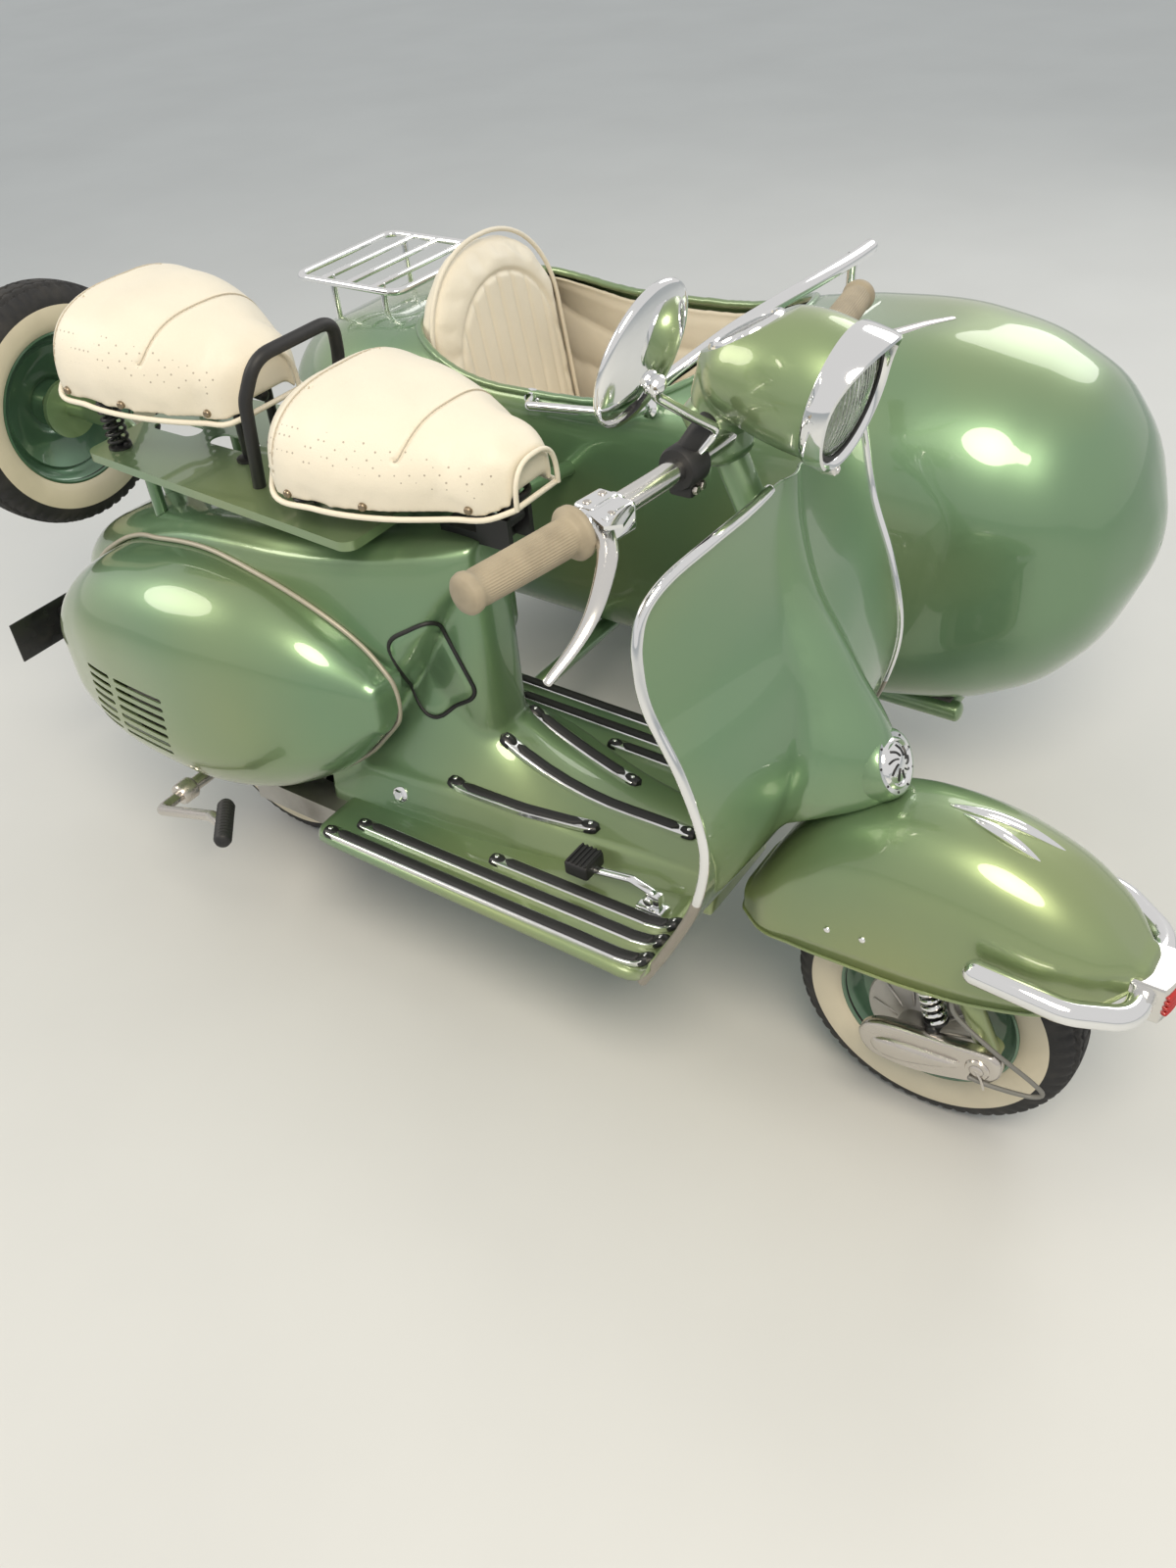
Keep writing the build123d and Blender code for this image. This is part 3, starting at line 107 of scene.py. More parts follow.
# x, half width, low, deck, shoulder radius, foot radius
HULL_ROWS = [(-440, 70, 420, 520, 48, 48), (-400, 130, 360, 590, 100, 100), (-280, 204, 286, 672, 120, 130),
             (-80, 238, 246, 712, 110, 120), (200, 244, 240, 716, 100, 116), (480, 244, 240, 730, 110, 116),
             (700, 244, 240, 782, 170, 122), (880, 238, 242, 798, 205, 150), (1010, 214, 258, 772, 200, 180),
             (1100, 168, 318, 716, 160, 158), (1152, 112, 400, 640, 108, 108), (1174, 60, 466, 580, 54, 54)]
# cockpit opening: its middle in X, and its half length and half width
COCKPIT_MIDDLE = 265.0
COCKPIT_REACH = 325.0
COCKPIT_HALF = 226.0
# x, half width, skirt edge, top, shoulder radius
SADDLE_ROWS = [(232, 96, 772, 838, 26), (262, 130, 762, 868, 40), (340, 136, 756, 876, 44),
               (430, 112, 752, 866, 42), (510, 74, 752, 848, 36), (560, 56, 756, 836, 30),
               (582, 40, 764, 820, 22)]
PILLION_ROWS = [(-166, 84, 838, 892, 24), (-140, 122, 826, 926, 40), (-70, 136, 818, 938, 44),
                (20, 118, 808, 926, 42), (96, 80, 800, 900, 34), (132, 62, 800, 886, 28),
                (146, 44, 806, 872, 20)]
# steps over the arc of a saddle's section
ARC_STEPS = 32
# x and height of the crease along the deck
CREASE = [(-300, 470), (-250, 500), (-150, 566), (-27, 619), (150, 650), (265, 661), (346, 668), (430, 676),
          (500, 683)]
# the access panel's corners, from its top at the rear round to its bottom
ACCESS_CORNERS = [(360, -88, 552), (404, -34, 586), (446, -16, 452), (412, -84, 396)]
# rear x, rear y, front x, front y of the floor runners, as on the left
FLOOR_RUNNERS = [(303, 222, 838, 216), (337, 186, 838, 180), (553, 150, 838, 146)]
# places of the runners on the tunnel, from the rear
TUNNEL_RUNNERS = [[(450, -100), (487, -102), (555, -94), (613, -78), (673, -60)],
                  [(500, -32), (600, -24), (700, -14), (798, -6)], [(490, 48), (560, 50), (673, 46)]]
# bumper: radius and path of its tube, and the rear, middle and front of its block
BUMPER_R = 15.0
BLOCK_REAR, BLOCK_MIDDLE, BLOCK_FRONT = 1384, 1404, 1422
BUMPER_PATH = [(1228, -112, 372), (1330, -106, 358), (1392, -70, 346), (1392, 70, 346), (1330, 106, 358),
               (1228, 112, 372)]
# where the steering axis meets the ground
COLUMN_FOOT_X = 1262.0
# handlebar: half its length, and its middle
BAR_HALF = 397.0
BAR_MIDDLE = Vector((858.0, 0.0, 902.0))
# the fork's leg, its link's pivot, and the ends of its spring
FORK_Y = -72.0
PIVOT = Vector((1247.0, FORK_Y, 205.0))
SPRING_TOP = Vector((1152.0, FORK_Y - 2, 322.0))
SPRING_LOW = Vector((1178.0, FORK_Y - 2, 232.0))
# the speedometer's middle and the way it faces
DIAL = Vector((874.0, 0.0, 1011.0))
DIAL_FACE = Vector((-0.46, 0.0, 0.888)).normalized()
# height of the deck under the saddle frames
DECK_TOP = 725.0
# places of small parts, and heights of the sidecar's tubes and rails
FUEL_CAP_X = 330.0
HORN = Vector((1070.0, 0.0, 534.0))
MIRROR = Vector((859.0, -170.0, 1046.0))
KICK_PIVOT = (2.0, -236.0, 232.0)
PLATE_X = -398.0
CHASSIS_Z = 222.0
RACK_Z = 752.0
# pressure in the padded pieces, and frames that it works for
CLOTH_PRESSURE = 4.0
CLOTH_FRAMES = 20
# directions that many pieces share
ACROSS, UP, DOWN = (0, 1, 0), (0, 0, 1), (0, 0, -1)
# camera: place in metres, turns in degrees, lens in millimetres
CAMERA_SPOT = (1.01045, -1.45318, 1.50243)
CAMERA_YAW = 127.853
CAMERA_PITCH = 39.316
CAMERA_ROLL = -5.641
CAMERA_LENS = 20.071


def place(point):
    """A point in millimetres from the rear axle, as the frame's metres."""
    return (Vector(point) - ORIGIN) * MM


class ScooterSizes(PropertyGroup):
    """Sizes of the details, in millimetres."""
    tread_depth: FloatProperty(name="Tread depth", description="Depth of the tyre grooves", default=4.0,
                               min=0.0)
    tread_pitches: IntProperty(name="Tread pitches", description="Blocks round each tyre", default=60, min=12)
    louvre_gap: FloatProperty(name="Louvre gap", description="Height of each louvre opening", default=8.0,
                              min=1.0)
    seam_depth: FloatProperty(name="Seam depth", description="Depth of the sewn seams", default=3.0, min=0.0)
    grip_rings: IntProperty(name="Grip ribs", description="Ribs round each grip", default=40, min=8)


class ScooterFinishes(PropertyGroup):
    """Colours of the finishes."""
    paint: FloatVectorProperty(name="Paint", description="Body paint", subtype="COLOR", size=3,
                               default=(0.168, 0.285, 0.158), min=0.0, max=1.0)
    # Colour of the painted highlight: golden patches laid into the body paint that stand for warm lamp
    # reflections.
    painted_gold_highlight: FloatVectorProperty(name="Warm paint", description="Golden cast in the body paint",
                                    subtype="COLOR", size=3, default=(0.290, 0.335, 0.140), min=0.0, max=1.0)
    rim_paint: FloatVectorProperty(name="Rim paint", description="Wheel paint", subtype="COLOR", size=3,
                                   default=(0.085, 0.170, 0.105), min=0.0, max=1.0)
    leather: FloatVectorProperty(name="Leather", description="Saddle leather", subtype="COLOR", size=3,
                                 default=(0.820, 0.740, 0.600), min=0.0, max=1.0)
    sidewall: FloatVectorProperty(name="Sidewall", description="Pale band of the tyres", subtype="COLOR",
                                  size=3, default=(0.640, 0.570, 0.430), min=0.0, max=1.0)
    grip: FloatVectorProperty(name="Grip", description="Rubber of the grips", subtype="COLOR", size=3,
                              default=(0.360, 0.300, 0.210), min=0.0, max=1.0)


class StageSettings(PropertyGroup):
    """Levels of the lamps and the world."""
    sky: FloatProperty(name="Sky", description="Strength of the even light", default=0.62, min=0.0)
    key: FloatProperty(name="Key", description="Power of the main lamp in watts", default=84.0, min=0.0)
    fill: FloatProperty(name="Fill", description="Power of the second lamp in watts", default=30.0, min=0.0)
    floor: FloatVectorProperty(name="Floor", description="Floor colour", subtype="COLOR", size=3,
                               default=(0.66, 0.65, 0.63), min=0.0, max=1.0)


# Materials
FINISHES = {}


def material(name, colour, rough, metal=0.0, **sockets):
    """Named material with a principled shader whose plain sockets are set."""
    made = bpy.data.materials.new(name)
    made.use_nodes = True
    shader = made.node_tree.nodes["Principled BSDF"]
    shader.inputs["Base Color"].default_value = (*colour[:3], 1.0)
    shader.inputs["Roughness"].default_value = rough
    shader.inputs["Metallic"].default_value = metal
    for socket, value in sockets.items():
        shader.inputs[socket.replace("_", " ")].default_value = value
    made.diffuse_color = (*colour[:3], 1.0)
    FINISHES[name] = made
    return made


def node(made, kind, **values):
    """Node in a material, with its sockets set by name."""
    made_node = made.node_tree.nodes.new(kind)
    for key, value in values.items():
        if hasattr(made_node, key):
            setattr(made_node, key, value)
        else:
            made_node.inputs[key.replace("_", " ")].default_value = value
    return made_node


def join(made, output, target):
    """Link from one node's output to another's input."""
    made.node_tree.links.new(output, target)


def object_space(made, stretch=(1.0, 1.0, 1.0)):
    """Coordinates in metres, stretched along the axes."""
    place_node = node(made, "ShaderNodeTexCoord")
    mapping = node(made, "ShaderNodeMapping")
    mapping.inputs["Scale"].default_value = stretch
    join(made, place_node.outputs["Object"], mapping.inputs["Vector"])
    return mapping.outputs["Vector"]


def darker(colour, share):
    """A colour with its channels times a share."""
    return [channel * share for channel in colour[:3]]


def grain(made, scale, depth, detail=3.0, kind="noise", stretch=(1.0, 1.0, 1.0), below=None):
    """Bump from a noise or a cell texture. Depth is in metres."""
    if kind == "noise":
        texture = node(made, "ShaderNodeTexNoise", Scale=scale, Detail=detail)
        output = texture.outputs["Fac"]
    else:
        texture = node(made, "ShaderNodeTexVoronoi", Scale=scale)
        output = texture.outputs["Distance"]
    join(made, object_space(made, stretch), texture.inputs["Vector"])
    bump = node(made, "ShaderNodeBump", Strength=1.0, Distance=depth)
    join(made, output, bump.inputs["Height"])
    if below is not None:
        join(made, below, bump.inputs["Normal"])
    join(made, bump.outputs["Normal"], made.node_tree.nodes["Principled BSDF"].inputs["Normal"])
    return bump.outputs["Normal"]


def mottle(made, socket, low, high, scale, spread=(0.35, 0.65), detail=4.0, stretch=(1.0, 1.0, 1.0)):
    """Noise between two values or colours, into a socket of the shader."""
    texture = node(made, "ShaderNodeTexNoise", Scale=scale, Detail=detail)
    join(made, object_space(made, stretch), texture.inputs["Vector"])
    ramp = node(made, "ShaderNodeValToRGB")
    for stop, place_on, value in zip(ramp.color_ramp.elements, spread, (low, high)):
        stop.position = place_on
        stop.color = (*value[:3], 1.0) if hasattr(value, "__len__") else (value, value, value, 1.0)
    join(made, texture.outputs["Fac"], ramp.inputs["Fac"])
    join(made, ramp.outputs["Color"], made.node_tree.nodes["Principled BSDF"].inputs[socket])


def paint(name, colour, painted_highlight):
    """Metallic paint: fine flake under a clear, smooth coat, with broad patches of a second colour laid into
    the base colour as painted highlight.
    """
    made = material(name, colour, 0.36, 0.55, Coat_Weight=1.0, Coat_Roughness=0.035, Coat_IOR=1.5)
    # Broad patches of the second colour are painted highlight, standing for reflections of warm lamps on the
    # paint.
    mottle(made, "Base Color", colour, painted_highlight, 2.2, (0.38, 0.72), 1.5)
    grain(made, 1500.0, 0.00006, 2.0)
    return made


def perforate(made):
    """Rows of small dark dots in a leather that stand for its holes; their darkness is painted shade inside
    the holes.
    """
    # Dark dots on a regular grid: painted shade inside holes that are not cut into the mesh.
    cells = node(made, "ShaderNodeTexVoronoi", Scale=120.0, Randomness=0.0)
    cells.voronoi_dimensions = "3D"
    join(made, object_space(made), cells.inputs["Vector"])
    inside = node(made, "ShaderNodeMath", operation="LESS_THAN")
    inside.inputs[1].default_value = 0.17
    join(made, cells.outputs["Distance"], inside.inputs[0])
    shader = made.node_tree.nodes["Principled BSDF"]
    before = shader.inputs["Base Color"].links[0].from_socket
    mixed = node(made, "ShaderNodeMix", data_type="RGBA")
    join(made, inside.outputs[0], mixed.inputs[0])
    join(made, before, mixed.inputs[6])
    mixed.inputs[7].default_value = (0.42, 0.36, 0.28, 1.0)
    join(made, mixed.outputs[2], shader.inputs["Base Color"])


def leather(name, colour):
    """Grained leather with slight creases and a faint shine."""
    made = material(name, colour, 0.48, 0.0, Coat_Weight=0.08, Coat_Roughness=0.35, Sheen_Weight=0.1)
    mottle(made, "Base Color", colour, darker(colour, 0.90), 9.0, (0.40, 0.85), 5.0)
    creases = grain(made, 26.0, 0.0006, 3.0)
    grain(made, 620.0, 0.00022, kind="cells", below=creases)
    return made


def brushed(name, colour, rough, stretch):
    """Metal with fine lines along one direction."""
    made = material(name, colour, rough, 1.0)
    mottle(made, "Roughness", rough * 0.75, rough * 1.35, 60.0, (0.3, 0.7), 3.0, stretch)
    grain(made, 300.0, 0.00002, 2.0, stretch=stretch)
    return made


# name, colour, roughness, metal, other sockets
PLAIN_FINISHES = [
    ("trim_chrome", (0.86, 0.87, 0.88), 0.07, 1.0, {}),
    ("black_rubber", (0.014, 0.014, 0.015), 0.55, 0.0, {}),
    ("tyre_rubber", (0.017, 0.017, 0.018), 0.72, 0.0, {}),
    ("engine_casting", (0.42, 0.41, 0.39), 0.46, 0.9, {}),
    ("dark_steel", (0.020, 0.020, 0.021), 0.34, 0.3, {}),
    ("plate_black", (0.012, 0.013, 0.013), 0.24, 0.2, {"Coat_Weight": 0.6, "Coat_Roughness": 0.15}),
    ("lamp_glass", (0.94, 0.96, 0.94), 0.02, 0.0, {"Transmission_Weight": 1.0, "IOR": 1.45}),
    ("red_plastic", (0.42, 0.012, 0.010), 0.16, 0.0, {"Coat_Weight": 0.5}),
    ("cable_sheath", (0.17, 0.165, 0.15), 0.45, 0.0, {}),
    ("seat_wood", (0.30, 0.20, 0.11), 0.6, 0.0, {}),
    ("dull_trim", (0.34, 0.31, 0.265), 0.34, 0.75, {}),
    ("pale_bead", (0.44, 0.40, 0.32), 0.42, 0.25, {}),
    ("looking_glass", (0.90, 0.91, 0.91), 0.015, 1.0, {}),
    ("bowl_silver", (0.93, 0.91, 0.84), 0.30, 0.6, {}),
    ("dial_face", (0.72, 0.70, 0.62), 0.4, 0.0, {}),
    ("seam_thread", (0.56, 0.49, 0.38), 0.7, 0.0, {}),
    ("floor_mat", (0.050, 0.047, 0.042), 0.85, 0.0, {}),
    ("rivet_bronze", (0.30, 0.24, 0.17), 0.30, 1.0, {}),
]
# name, colour, roughness and stretch of the brushed metals
BRUSHED_FINISHES = [
    ("runner_aluminium", (0.82, 0.83, 0.84), 0.20, (0.04, 1.0, 1.0)),
    ("bar_aluminium", (0.74, 0.73, 0.71), 0.16, (1.0, 0.06, 1.0)),
    ("link_steel", (0.60, 0.565, 0.525), 0.24, (0.08, 1.0, 1.0)),
]
# name, socket, its two values, scale of the noise, where in it they stand, and its detail and stretch
MOTTLES = [("trim_chrome", "Roughness", 0.045, 0.13, 14.0, (0.45, 0.75)),
           ("tyre_rubber", "Base Color", (0.014, 0.014, 0.015), (0.045, 0.041, 0.036), 30.0, (0.45, 0.9)),
           ("engine_casting", "Base Color", (0.44, 0.43, 0.41), (0.20, 0.19, 0.17), 11.0, (0.45, 0.85)),
           ("plate_black", "Roughness", 0.20, 0.42, 18.0, (0.35, 0.65)),
           ("seat_wood", "Base Color", (0.32, 0.22, 0.12), (0.20, 0.12, 0.06), 30.0, (0.3, 0.7), 4.0,
            (0.15, 1.0, 1.0)), ("dull_trim", "Roughness", 0.28, 0.5, 22.0, (0.35, 0.65)),
           ("bowl_silver", "Roughness", 0.25, 0.40, 30.0, (0.35, 0.65)),
           ("rivet_bronze", "Roughness", 0.22, 0.45, 60.0, (0.35, 0.65)), ]
# name, scale and depth of the fine grain
GRAINS = [
    ("black_rubber", 420.0, 0.00010), ("grip_rubber", 500.0, 0.00010), ("tyre_rubber", 260.0, 0.00014),
    ("engine_casting", 240.0, 0.00025), ("dark_steel", 180.0, 0.00006), ("red_plastic", 90.0, 0.00004),
    ("cable_sheath", 700.0, 0.00008), ("pale_bead", 300.0, 0.00006), ("dial_face", 200.0, 0.00002),
    ("seam_thread", 900.0, 0.0001), ("floor_mat", 380.0, 0.0005),
]


def make_finishes(colours):
    """Every finish, from the tables and from the colours in the panel."""
    paint("green_paint", colours.paint, colours.painted_gold_highlight)
    # The rim paint gets the same broad patches, a little lighter, as painted highlight.
    paint("rim_paint", colours.rim_paint, darker(colours.rim_paint, 1.12))
    leather("cream_leather", colours.leather)
    perforate(leather("perforated_leather", colours.leather))
    for name, colour, rough, metal, sockets in PLAIN_FINISHES:
        material(name, colour, rough, metal, **sockets)
    for row in BRUSHED_FINISHES:
        brushed(*row)
    material("grip_rubber", colours.grip, 0.62)
    material("sidewall_band", colours.sidewall, 0.55)
    worn = [("grip_rubber", "Base Color", colours.grip, darker(colours.grip, 0.72), 34.0, (0.42, 0.8)),
            ("sidewall_band", "Base Color", colours.sidewall, darker(colours.sidewall, 0.86), 12.0,
             (0.4, 0.8))]
    for name, *mottling in MOTTLES + worn:
        mottle(FINISHES[name], *mottling)
    for name, scale, depth in GRAINS:
        grain(FINISHES[name], scale, depth)


# Mesh building
def bare(name, shape, weld=True):
    """Object with no finish, from points in millimetres and faces turned outward."""
    points, faces = shape
    mesh = bpy.data.meshes.new(name)
    mesh.from_pydata([place(point) for point in points], [], faces)
    work = bmesh.new()
    work.from_mesh(mesh)
    if weld:
        bmesh.ops.remove_doubles(work, verts=work.verts, dist=0.02 * MM)
        bmesh.ops.dissolve_degenerate(work, edges=work.edges, dist=0.005 * MM)
    bmesh.ops.recalc_face_normals(work, faces=work.faces)
    work.to_mesh(mesh)
    work.free()
    thing = bpy.data.objects.new(name, mesh)
    bpy.context.scene.collection.objects.link(thing)
    return thing


def piece(name, shape, finish, body, stands_for=None, smooth=35.0):
    """Object in a finish that rides on a body, and the node that it stands for."""
    thing = bare(name, shape)
    thing.data.materials.append(FINISHES[finish])
    shade(thing, smooth)
    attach(thing, body)
    if stands_for:
        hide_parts(stands_for)
    return thing


def shade(thing, angle):
    """Smooth faces, with edges sharper than the angle left crisp."""
    thing.data.polygons.foreach_set("use_smooth", [True] * len(thing.data.polygons))
    thing.data.set_sharp_from_angle(angle=math.radians(angle))


def settle(thing):
    """Turn a piece's modifiers into its mesh."""
    graph = bpy.context.evaluated_depsgraph_get()
    mesh = bpy.data.meshes.new_from_object(thing.evaluated_get(graph))
    thing.modifiers.clear()
    old = thing.data
    thing.data = mesh
    bpy.data.meshes.remove(old)


def gather(*shapes):
    """Several (points, faces) shapes as one."""
    points, faces = [], []
    for more_points, more_faces in shapes:
        start = len(points)
        points += [Vector(point) for point in more_points]
        faces += [tuple(index + start for index in face) for face in more_faces]
    return points, faces


def skin(rings, closed=True, caps=(True, True)):
    """Surface through rings that have as many points each."""
    count = len(rings[0])
    points = [point for ring in rings for point in ring]
    faces = []
    last = count if closed else count - 1
    for row in range(len(rings) - 1):
        for i in range(last):
            j = (i + 1) % count
            a, b = row * count, (row + 1) * count
            faces.append((a + i, a + j, b + j, b + i))
    if closed and caps[0]:
        faces.append(tuple(reversed(range(count))))
    if closed and caps[1]:
        faces.append(tuple(range((len(rings) - 1) * count, len(rings) * count)))
    return points, faces


def frame_at(direction):
    """Two axes across a direction."""
    along = Vector(direction).normalized()
    side = Vector(UP).cross(along)
    if side.length < 1e-4:
        side = Vector(ACROSS).cross(along)
    side.normalize()
    return side, along.cross(side).normalized()


def arm_at(side, up, angle):
    """Arm at an angle between two axes."""
    return side * math.cos(angle) + up * math.sin(angle)


def turns(count):
    """Angles that divide a full turn."""
    return [2 * math.pi * k / count for k in range(count)]


def spin(profile, centre, axis, steps=96):
    """Surface turned about an axis from (radius, along) pairs."""
    centre, axis = Vector(centre), Vector(axis).normalized()
    side, up = frame_at(axis)
    rings = [[centre + arm_at(side, up, turn) * radius + axis * along for radius, along in profile]
             for turn in turns(steps)]
    return skin([*rings, rings[0]], closed=False)


def bend_path(points, bend, steps=8):
    """Straight runs joined by arcs."""
    points = [Vector(point) for point in points]
    bends = bend if hasattr(bend, "__len__") else [bend] * (len(points) - 2)
    path = [points[0]]
    for before, here, after, radius in zip(points, points[1:], points[2:], bends):
        one, two = (before - here).normalized(), (after - here).normalized()
        half = one.angle(two) / 2
        reach = min(radius / math.tan(half), 0.49 * (before - here).length, 0.49 * (after - here).length)
        start, end = here + one * reach, here + two * reach
        for step in range(steps + 1):
            t = step / steps
            path.append(start * (1 - t) ** 2 + here * 2 * t * (1 - t) + end * t ** 2)
    return path + [points[-1]]


def smooth_path(points, steps=8):
    """Curve that passes through every point."""
    points = [Vector(point) for point in points]
    held = [points[0] * 2 - points[1], *points, points[-1] * 2 - points[-2]]
    path = []
    for a, b, c, d in zip(held, held[1:], held[2:], held[3:]):
        for step in range(steps):
            t = step / steps
            path.append(0.5 * (2 * b + (c - a) * t + (2 * a - 5 * b + 4 * c - d) * t ** 2
                               + (3 * b - a - 3 * c + d) * t ** 3))
    return path + [points[-1]]


def pipe(path, radius, sides=18, ends=True, loop=False, flat=1.0):
    """Round or flattened bar along a path. The radius may be a list, one for each point."""
    path = [Vector(point) for point in path]
    count = len(path)
    radii = radius if hasattr(radius, "__len__") else [radius] * count
    side, _ = frame_at(path[1] - path[0])
    rings = []
    for index, here in enumerate(path):
        before = path[index - 1] if index or loop else here
        after = path[(index + 1) % count] if index < count - 1 or loop else here
        along = (after - before).normalized()
        side = (side - along * side.dot(along)).normalized()
        up = along.cross(side)
        rings.append([here + arm_at(side, up * flat, turn) * radii[index] for turn in turns(sides)])
    if loop:
        return skin([*rings, rings[0]], caps=(False, False))
    if ends:
        rings = dome(rings[::-1], radii[0] * 0.5)[::-1]
        rings = dome(rings, radii[-1] * 0.5)
    return skin(rings)


def dome(rings, reach):
    """Rings with a rounded end grown past the last one."""
    last, before = rings[-1], rings[-2]
    middle = middle_of(last)
    along = (middle - middle_of(before)).normalized()
    extra = []
    for angle in (math.pi / 2 * step / 5 for step in range(1, 6)):
        scale = max(math.cos(angle), 0.02)
        extra.append([middle + (point - middle) * scale + along * reach * math.sin(angle) for point in last])
    return rings + extra


def block(low, high, round_off=2.0, steps=2):
    """Box with rounded edges, between two corners."""
    work = bmesh.new()
    bmesh.ops.create_cube(work, size=1.0)
    for vert in work.verts:
        vert.co = Vector(((a + b) / 2 + (b - a) * part for a, b, part in zip(low, high, vert.co)))
    if round_off:
        bmesh.ops.bevel(work, geom=list(work.edges), offset=round_off, segments=steps, profile=0.5,
                        affect="EDGES")
    work.verts.index_update()
    shape = [vert.co.copy() for vert in work.verts], [tuple(vert.index for vert in face.verts)
                                                      for face in work.faces]
    work.free()
    return shape


def moved(shape, matrix):
    """Shape carried by a matrix."""
    points, faces = shape
    return [matrix @ Vector(point) for point in points], faces


def button(centre, axis, radius, height, steps=20):
    """Low round head, such as a rivet's or a bolt's."""
    profile = [(radius, -height * 0.3)]
    for angle in (math.pi / 2 * step / 6 for step in range(7)):
        profile.append((max(radius * math.cos(angle) ** 0.5, 0.01), height * math.sin(angle)))
    return spin(profile, centre, axis, steps)


def hex_head(centre, axis, size, height):
    """Six-sided bolt head with a chamfer."""
    centre, axis = Vector(centre), Vector(axis).normalized()
    side, up = frame_at(axis)
    return skin([[centre + arm_at(side, up, turn) * size * scale + axis * along for turn in turns(6)]
                 for scale, along in ((1.0, 0.0), (1.0, height * 0.8), (0.86, height))])


def upright(x, outline):
    """Ring across the scooter from (across, height) pairs."""
    return [Vector((x, across, height)) for across, height in outline]


def drawn_in(ring, middle, scale, shift=(0, 0, 0)):
    """Ring scaled about its middle and moved."""
    return [middle + (point - middle) * scale + Vector(shift) for point in ring]


def middle_of(ring):
    """Mean of a ring's points."""
    return sum(ring, Vector()) / len(ring)


# Rows that a surface passes through
def between(rows, at):
    """A row of values at a place, on smooth curves through the given rows."""
    table = np.array(rows, float)
    x = table[:, 0]
    slopes = np.gradient(table, x, axis=0)
    if at <= x[0]:
        return table[0]
    if at >= x[-1]:
        return table[-1]
    index = int(np.searchsorted(x, at)) - 1
    gap = x[index + 1] - x[index]
    t = (at - x[index]) / gap
    a, b = table[index], table[index + 1]
    value = (2 * t ** 3 - 3 * t ** 2 + 1) * a + (t ** 3 - 2 * t ** 2 + t) * gap * slopes[index]
    value += (-2 * t ** 3 + 3 * t ** 2) * b + (t ** 3 - t ** 2) * gap * slopes[index + 1]
    return value


def corner(across, height, radius, first, last, steps):
    """Points round a corner, from one angle in degrees to another."""
    angles = [math.radians(first + (last - first) * k / steps) for k in range(steps + 1)]
    return [(across + radius * math.cos(angle), height + radius * math.sin(angle)) for angle in angles]


def half_outline(half, low, high, shoulder, foot, corner_steps=10, side_steps=5):
    """Right half of a rounded outline, from its top middle to its bottom middle, as (across, height)."""
    shoulder = min(shoulder, half, (high - low) / 2)
    foot = min(foot, half, (high - low) / 2)
    points = [((half - shoulder) * k / side_steps, high) for k in range(side_steps)]
    points += corner(half - shoulder, high - shoulder, shoulder, 90, 0, corner_steps)
    drop = high - shoulder - low - foot
    points += [(half, high - shoulder - drop * k / side_steps) for k in range(1, side_steps)]
    points += corner(half - foot, low + foot, foot, 0, -90, corner_steps)
    points += [((half - foot) * (1 - k / side_steps), low) for k in range(1, side_steps + 1)]
    return points


def full_outline(*sizes):
    """Whole outline, from the top middle round one way and back to it."""
    half = half_outline(*sizes)
    return half + [(-across, height) for across, height in reversed(half[1:-1])]


def along_rows(rows, step):
    """Places from the first row to the last, about a step apart."""
    first, last = rows[0][0], rows[-1][0]
    count = max(2, int(abs(last - first) / step))
    return [first + (last - first) * k / count for k in range(count + 1)]


def surface_tree(thing):
    """Search tree of a piece's surface, in millimetres from the rear axle."""
    graph = bpy.context.evaluated_depsgraph_get()
    mesh = thing.evaluated_get(graph).to_mesh()
    points = [vert.co / MM + ORIGIN for vert in mesh.vertices]
    faces = [tuple(poly.vertices) for poly in mesh.polygons]
    thing.evaluated_get(graph).to_mesh_clear()
    return BVHTree.FromPolygons(points, faces)


def onto(tree, start, direction, lift=0.0):
    """Where a ray meets a surface, lifted off it, and the surface's direction there."""
    hit, normal, _, _ = tree.ray_cast(Vector(start), Vector(direction).normalized())
    if hit is None:
        hit, normal, _, _ = tree.find_nearest(Vector(start))
    if normal.dot(Vector(direction)) > 0:
        normal = -normal
    return hit + normal * lift, normal


def remesh(thing, voxel):
    """Modifier that lays one even skin round a piece."""
    skin_over = thing.modifiers.new("skin", "REMESH")
    skin_over.mode = "VOXEL"
    skin_over.voxel_size = voxel * MM


def soften(thing, passes):
    """Modifier that smooths a piece's mesh."""
    smoother = thing.modifiers.new("soften", "SMOOTH")
    smoother.factor = 0.5
    smoother.iterations = passes


def subdivide(thing, levels):
    """Modifier that divides a piece's faces smoothly."""
    divided = thing.modifiers.new("divide", "SUBSURF")
    divided.levels = divided.render_levels = levels


def blended(name, shapes, voxel, passes, finish, body, stands_for):
    """One smooth skin round several closed shapes, with soft valleys where they meet."""
    thing = piece(name, gather(*shapes), finish, body, stands_for)
    remesh(thing, voxel)
    soften(thing, passes)
    settle(thing)
    shade(thing, 60.0)
    return thing


def carve(thing, shape):
    """Cut a closed shape out of a piece."""
    cutter = bare("cutter", shape, weld=False)
    cut = thing.modifiers.new("cut", "BOOLEAN")
    cut.operation = "DIFFERENCE"
    cut.solver = "EXACT"
    cut.object = cutter
    settle(thing)
    mesh = cutter.data
    bpy.data.objects.remove(cutter)
    bpy.data.meshes.remove(mesh)


def thicken(thing, thickness):
    """Give an open sheet its thickness, inward."""
    wall = thing.modifiers.new("wall", "SOLIDIFY")
    wall.thickness = thickness * MM
    wall.offset = -1.0
    settle(thing)


